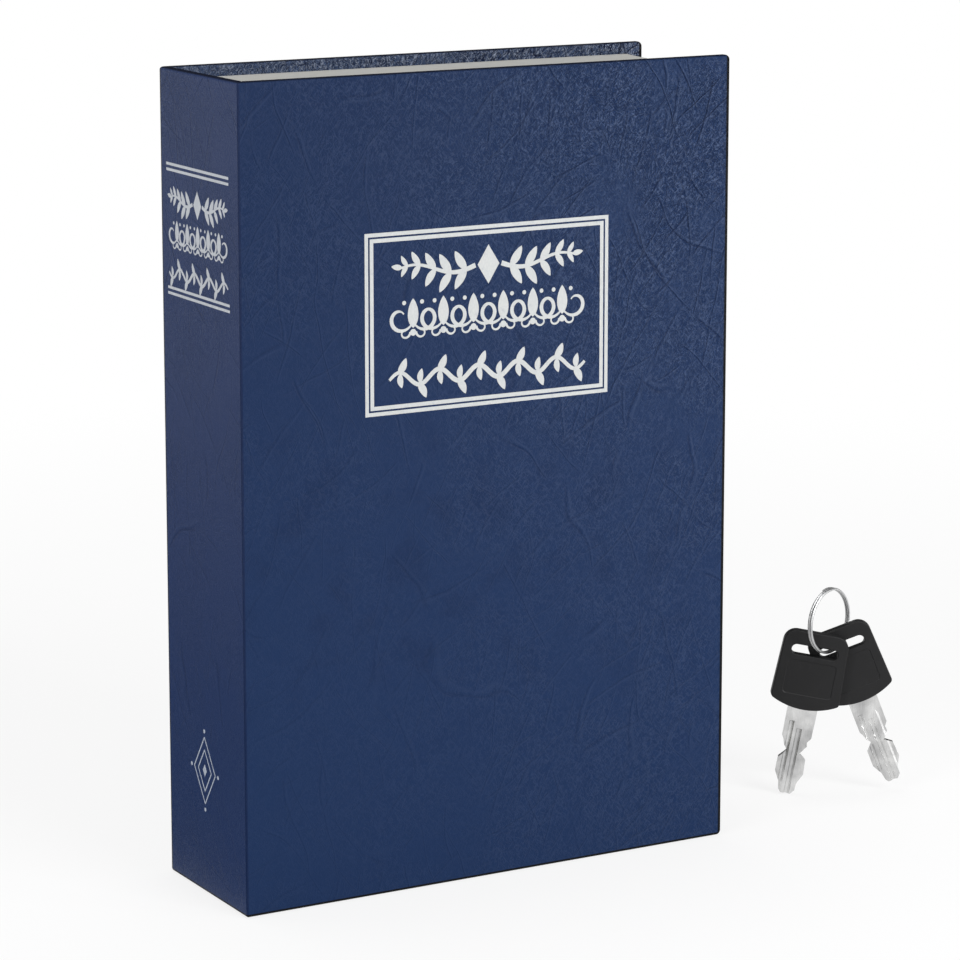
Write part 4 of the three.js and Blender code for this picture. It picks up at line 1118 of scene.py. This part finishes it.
keys = {
    "standX": 123.8, "standY": -22.2, "turn": -29.6, "ringAlong": 13.2053, "wireHeight": 45.9349,
    "slotReach": 47.3195, "across": 4.66, "stack": 1.85, "frontTilt": 10.5, "rearTilt": -21.5,
    "bladeLength": 28.0, "halfWidth": 4.7, "thick": 2.0, "ringRadius": 10.2, "ringTurn": 48.0,
    "wire": 0.4, "wirePitch": 0.84, "wireSquare": 2.6, "ringTurns": 2.06, "ringStart": 82.0,
}


def turned(axis, degrees):
    return Matrix.Rotation(math.radians(degrees), 4, axis)


def moved(x, y, z):
    return Matrix.Translation((x * mm, y * mm, z * mm))


keysPlace = moved(keys["standX"], keys["standY"], 0) @ turned("Z", keys["turn"])


def keyPlace(tilt, depth, across):
    hang = moved(keys["ringAlong"], depth, keys["wireHeight"]) @ turned("Y", tilt)
    return keysPlace @ hang @ moved(-across, 0, -keys["slotReach"])


bladeLeft = [(0.36, 0), (0.52, 0.03), (0.62, 0.12), (0.98, 0.235), (0.98, 0.41),
             (0.5, 0.5), (0.74, 0.555), (0.86, 0.62), (1, 0.66), (1, 1.05)]
bladeRight = [(0.3, 0), (0.55, 0.05), (0.57, 0.125), (0.93, 0.245), (0.87, 0.42),
              (0.38, 0.485), (0.8, 0.575), (0.74, 0.62), (0.98, 0.675), (1, 1.05)]


def prismMesh(name, points):
    count = len(points) // 2
    return solidMesh(name, points, endCaps(len(points), count) + gridFaces(2, count))


def plateMesh(name, outline, low, high):
    return prismMesh(name, [(x, y, z) for y in (low, high) for x, z in outline])


def wedge(xs, ys, high, slope):
    points = []
    for up, lift in ((-1, 0.0), (high, slope)):
        points += [(xs[0], ys[0], up + lift), (xs[3], ys[0], up + lift), (xs[2], ys[1], up), (xs[1], ys[1], up)]
    faces = [(0, 1, 2, 3), (7, 6, 5, 4), (0, 4, 5, 1), (1, 5, 6, 2), (2, 6, 7, 3), (3, 7, 4, 0)]
    return newObject(solidMesh("wedge", points, faces), bladeMaterial)


# Short open edges that the cuts leave are drawn together
def sealed(mesh):
    def edit(work):
        short = [edge for edge in work.edges if len(edge.link_faces) == 1 and edge.calc_length() < 0.3 * mm]
        bmesh.ops.collapse(work, edges=short)
        bmesh.ops.remove_doubles(work, verts=work.verts, dist=0.0005 * mm)
    edited(mesh, edit)


def finished(target, material, place, smooth):
    target.data.transform(place)
    smoothByAngle(target.data, smooth)
    dressed(target.data, material)
    return target


# Each groove: its four places across, the face it is in, its depth, its share of the length and its run-out
grooves = (
    ((-3.7, -3.1, -2.5, -1.3), -1, 0.6, 0.84, 0.7),
    ((-1.0, -0.4, 0.4, 1.5), -1, 0.65, 0.76, 0.6),
    ((1.9, 3.1, 7.0, 7.0), -1, 0.4, 0.8, 3.0),
    ((-1.5, -1.0, 1.0, 1.5), 1, 0.6, 0.84, 0.6),
    ((-7.0, -7.0, -2.7, -1.9), 1, 0.4, 0.8, 3.0),
)
blade = {"tangHalf": 2.9, "tangLength": 9, "shoulder": 1.05, "ease": 0.12, "cutPast": 0.4}


def bladeObject(name, place):
    length, half, face = keys["bladeLength"], keys["halfWidth"], keys["thick"] / 2
    tang, shoulder = blade["tangHalf"], length * blade["shoulder"]
    outline = [(share * half, up * length) for share, up in bladeRight]
    outline += [(tang, shoulder), (tang, length + blade["tangLength"]),
                (-tang, length + blade["tangLength"]), (-tang, shoulder)]
    outline += [(-share * half, up * length) for share, up in reversed(bladeLeft)]
    made = newObject(plateMesh(name, outline, -face, face), bladeMaterial)
    combined(made, [
        wedge(xs, (side * (face + blade["cutPast"]), side * (face - depth)), length * share, slope)
        for xs, side, depth, share, slope in grooves], "DIFFERENCE")
    easedEdges(made.data, blade["ease"], 2, 20)
    return finished(made, bladeMaterial, place, 30)


bow = {
    "topHalf": 10.4, "bottomHalf": 11.05, "top": 53.3, "chord": 30.9, "bulge": 2.9, "thick": 3.4, "topRound": 4.0,
    "bottomRound": 1.0, "ease": 0.6, "slotUp": 47.2, "slotLength": 14.9, "slotTall": 3.2,
    "panelHalf": 7.75, "panelLow": 32.7, "panelHigh": 43.7, "panelDepth": 0.16, "panelRound": 1.2,
    "play": 0.05, "shoulderHalf": 4.75, "shoulderFoot": 19, "tangFoot": 20,
}


def bowOutline():
    radius = (bow["bottomHalf"] ** 2 + bow["bulge"] ** 2) / (2 * bow["bulge"])
    centre = bow["chord"] - bow["bulge"] + radius
    sweep = math.asin(bow["bottomHalf"] / radius)
    inset = bow["bottomRound"] / radius
    outline = []
    for step in range(25):
        angle = (sweep - inset) * (2 * step / 24 - 1)
        outline.append((radius * math.sin(angle), centre - radius * math.cos(angle)))

    def rounded(corner, before, after, steps=8):
        return [(before[0] * (1 - t) ** 2 + corner[0] * 2 * t * (1 - t) + after[0] * t ** 2,
                 before[1] * (1 - t) ** 2 + corner[1] * 2 * t * (1 - t) + after[1] * t ** 2)
                for t in (step / steps for step in range(1, steps))]

    slope = (bow["bottomHalf"] - bow["topHalf"]) / (bow["top"] - bow["chord"])
    up = bow["chord"] + bow["bottomRound"]
    rightUp = (bow["bottomHalf"] - slope * bow["bottomRound"], up)
    outline += rounded((bow["bottomHalf"], bow["chord"]), outline[-1], rightUp) + [rightUp]
    high, reach = bow["top"], bow["topRound"]
    for start, side in ((0, 1), (1, -1)):
        for step in range(13):
            angle = math.pi / 2 * (start + step / 12)
            outline.append((side * (bow["topHalf"] - reach) + reach * math.cos(angle),
                            high - reach + reach * math.sin(angle)))
    leftUp = (-rightUp[0], up)
    return outline + [leftUp] + rounded((-bow["bottomHalf"], bow["chord"]), leftUp, outline[0])


def stadium(half, tall, middle, steps=12):
    radius = tall / 2
    outline = []
    for side in (1, -1):
        for step in range(steps + 1):
            angle = math.pi * (step / steps - 0.5)
            outline.append((side * (half - radius + radius * math.cos(angle)),
                            middle + side * radius * math.sin(angle)))
    return outline


def panelCutter(side):
    face = bow["thick"] / 2
    points = []
    for grow, y in ((0.45, side * (face + 0.2)), (-0.1, side * (face - bow["panelDepth"]))):
        reach = bow["panelHalf"] + grow
        low, high, bend = bow["panelLow"] - grow, bow["panelHigh"] + grow, bow["panelRound"]
        for x, z, start in ((reach - bend, high - bend, 0), (-reach + bend, high - bend, 90),
                            (-reach + bend, low + bend, 180), (reach - bend, low + bend, 270)):
            for step in range(7):
                angle = math.radians(start + 15 * step)
                points.append((x + bend * math.cos(angle), y, z + bend * math.sin(angle)))
    return newObject(prismMesh("panel", points), bowMaterial)


def bowObject(name, place):
    face = bow["thick"] / 2
    made = newObject(plateMesh(name, bowOutline(), -face, face), bowMaterial)
    slot = stadium(bow["slotLength"] / 2, bow["slotTall"], bow["slotUp"])
    play, length, wide = bow["play"], keys["bladeLength"], bow["shoulderHalf"]
    deep, tang = keys["thick"] / 2 + play, blade["tangHalf"] + play
    tangTop, shoulderTop = length + blade["tangLength"] + play, length * blade["shoulder"] + play
    combined(made, [newObject(mesh, bowMaterial) for mesh in (
        plateMesh("slot", slot, -face - 1, face + 1),
        boxMesh("tang", (-tang, -deep, bow["tangFoot"]), (tang, deep, tangTop)),
        boxMesh("shoulder", (-wide, -deep, bow["shoulderFoot"]), (wide, deep, shoulderTop)))], "DIFFERENCE")
    easedEdges(made.data, bow["ease"], 4, 50)
    combined(made, [panelCutter(-1), panelCutter(1)], "DIFFERENCE")
    sealed(made.data)
    return finished(made, bowMaterial, place, 30)


for key, tilt, depth, across in (("front_key", keys["frontTilt"], -keys["stack"], keys["across"]),
                                 ("rear_key", keys["rearTilt"], keys["stack"], -keys["across"])):
    place = keyPlace(tilt, depth, across)
    for piece, node, slotName in ((bladeObject(key + "_blade_cut", place), key + "_blade", "blade_nickel"),
                                  (bowObject(key + "_bow_moulded", place), key + "_bow", "bow_plastic")):
        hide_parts(node)
        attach(piece, key)


def ringMesh(name):
    turns, turnSteps, sides = keys["ringTurns"], 96, 16
    square = keys["wireSquare"]
    count = int(turns * turnSteps)
    points = []
    for step in range(count + 1):
        share = step / count
        angle = math.tau * turns * share + math.radians(keys["ringStart"])
        climb = (share - 0.5) * keys["wirePitch"] * turns
        taper = min(1.0, 0.55 + 0.45 * min(step, count - step) / 3)
        out = Vector((math.cos(angle), 0, math.sin(angle)))
        for side in range(sides):
            around = math.tau * side / sides
            corner = (abs(math.cos(around)) ** square + abs(math.sin(around)) ** square) ** (1 / square)
            flat = keys["wire"] * taper / corner
            reach = keys["ringRadius"] + flat * math.cos(around)
            points.append((out.x * reach, climb + flat * math.sin(around), out.z * reach))
    return solidMesh(name, points, gridFaces(count + 1, sides) + endCaps(len(points), sides))


splitRing = newObject(ringMesh("split_ring"), ringMaterial)
splitRing.data.transform(keysPlace @ moved(keys["ringAlong"], 0, keys["wireHeight"] + keys["ringRadius"])
                         @ turned("Z", keys["ringTurn"]))
smoothByAngle(splitRing.data, 50)
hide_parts("key_ring")
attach(splitRing, "key_ring")
print("keys made")


# CAD nodes that show as they are

for nodes, material, slotName in (
        (("front_board", "spine_board", "back_board"), boardMaterial, "greyboard"),
        (("front_pastedown", "case_lining"), paperMaterial, "lining_paper"),
        ([f"lock_wafer_{number}" for number in range(1, 6)], brassMaterial, "brass"),
        (("upper_spine_side_screw", "upper_fore_side_screw", "lower_spine_side_screw", "lower_fore_side_screw"),
         zincMaterial, "bright_steel")):
    for node in nodes:
        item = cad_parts[node]
        dressed(item.data, material)


# Floor, lights, world and camera

stage = {
    "floorNear": 0.22, "floorFar": 0.75, "floorGlow": 0.8, "floorReach": 30.0, "floorDrop": 0.0002,
    "mirrorNear": 0.8, "mirrorLeft": 1.0, "mirrorRise": (0.1, 0.45), "leftRise": (0.1, 2.0),
    "leftEdge": (-0.09, -0.0815), "sideEdge": (0.2, 0.5),
    "worldLight": 0.3, "farWall": 0.92, "farRise": (-0.35, 0.45), "sideCard": 0.2, "sideRise": (0.55, 0.8),
    "frontward": (-0.494, -0.869, 0.0), "rightward": (0.869, -0.494, 0.0),
    "cameraPlace": (-0.5280, -0.9723, 0.3451), "azimuth": 29.602, "pitch": 10.496,
    "focalPixels": 3727.8, "picturePixels": 960, "sensor": 36.0, "shift": -0.1,
}
# Name, place, aim, size and power of each light
lights = (
    ("front_softbox", (0.5, -1.9, 1.3), (0.0, -0.05, 0.12), (1.0, 1.0), 26),
    ("left_softbox", (-1.7, -0.7, 0.9), (-0.08, -0.02, 0.12), (0.9, 0.9), 14),
    ("top_softbox", (-0.1, 0.25, 1.7), (0.0, -0.02, 0.2), (1.0, 0.8), 11),
    ("cover_sheen", (0.31, -0.43, 0.15), (0.06, -0.05, 0.2), (0.1, 0.1), 0.55),
    ("spine_sheen", (-0.30, 0.44, 0.30), (-0.08, -0.02, 0.22), (0.12, 0.12), 0.05),
)


def floorObject():
    reach = stage["floorReach"]
    mesh = bpy.data.meshes.new("floor")
    mesh.from_pydata([(-reach, -reach, 0), (reach, -reach, 0), (reach, reach, 0), (-reach, reach, 0)],
                     [], [(0, 1, 2, 3)])
    material = bpy.data.materials.new("floor")
    material.use_nodes = True
    tree = Tree(material.node_tree)
    tree.nodes.clear()
    place = tree.node("ShaderNodeTexCoord", output=3)
    spread = tree.node("ShaderNodeVectorMath", {"operation": "LENGTH"}, {0: place}, 1)
    matt = tree.node("ShaderNodeBsdfDiffuse", {}, {0: (0.86, 0.86, 0.86, 1)})
    seen = tree.ray("Camera").larger(tree.ray("Transmission"))
    glossy = tree.ray("Glossy")
    share = stage["floorGlow"] + (1 - stage["floorGlow"]) * spread.ramp(stage["floorNear"], stage["floorFar"])
    across = tree.parts(place)[0]
    leftward = 1 - across.ramp(*stage["leftEdge"])
    mirror = stage["mirrorNear"] + (1 - stage["mirrorNear"]) * spread.ramp(*stage["mirrorRise"])
    mirror = mirror * (1 - leftward * (1 - spread.ramp(*stage["leftRise"])) * stage["mirrorLeft"])
    mirror = mirror + across.ramp(*stage["sideEdge"]) * stage["sideCard"]
    glow = tree.node("ShaderNodeEmission", {}, {0: (1, 1, 1, 1), 1: 1 - glossy * (1 - mirror)})
    mixed = tree.node("ShaderNodeMixShader", {}, {0: (seen * share).larger(glossy), 1: matt, 2: glow})
    result = tree.nodes.new("ShaderNodeOutputMaterial")
    tree.links.new(mixed.socket, result.inputs["Surface"])
    floor = newObject(mesh, material)
    floor.location.z = -stage["floorDrop"]


def areaLight(name, place, aim, size, power):
    light = bpy.data.lights.new(name, "AREA")
    light.shape = "RECTANGLE"
    light.size, light.size_y = size
    light.energy = power
    made = bpy.data.objects.new(name, light)
    scene.collection.objects.link(made)
    made.location = place
    made.rotation_mode = "QUATERNION"
    made.rotation_quaternion = (Vector(aim) - Vector(place)).to_track_quat("-Z", "Y")
    made.visible_camera = False


floorObject()
for light in lights:
    areaLight(*light)

world = bpy.data.worlds.new("studio")
scene.world = world
world.use_nodes = True
worldTree = Tree(world.node_tree)
background = next(node for node in worldTree.nodes if node.type == "BACKGROUND")
glossy = worldTree.ray("Glossy")
worldSeen = worldTree.ray("Camera").larger(glossy).larger(worldTree.ray("Transmission"))
around = worldTree.node("ShaderNodeTexCoord")


def towards(direction):
    return worldTree.node("ShaderNodeVectorMath", {"operation": "DOT_PRODUCT"}, {0: around, 1: direction}, 1)


farWall = 1 - (1 - towards(stage["frontward"]).ramp(*stage["farRise"])) * glossy * stage["farWall"]
sideCard = towards(stage["rightward"]).ramp(*stage["sideRise"]) * glossy * stage["sideCard"]
worldLevel = (stage["worldLight"] + worldSeen * (1 - stage["worldLight"])) * farWall + sideCard
worldTree.links.new(worldLevel.socket, background.inputs["Strength"])
background.inputs["Color"].default_value = (1, 1, 1, 1)

cameraData = bpy.data.cameras.new("camera")
cameraData.sensor_width = stage["sensor"]
cameraData.lens = stage["focalPixels"] / stage["picturePixels"] * stage["sensor"]
cameraData.shift_y = stage["shift"]
cameraData.clip_start, cameraData.clip_end = 0.01, 100.0
camera = bpy.data.objects.new("camera", cameraData)
scene.collection.objects.link(camera)
azimuth, pitch = math.radians(stage["azimuth"]), math.radians(stage["pitch"])
forward = Vector((math.sin(azimuth) * math.cos(pitch), math.cos(azimuth) * math.cos(pitch), -math.sin(pitch)))
camera.location = stage["cameraPlace"]
camera.rotation_mode = "QUATERNION"
camera.rotation_quaternion = forward.to_track_quat("-Z", "Y")
scene.camera = camera
scene.view_settings.view_transform = "Standard"
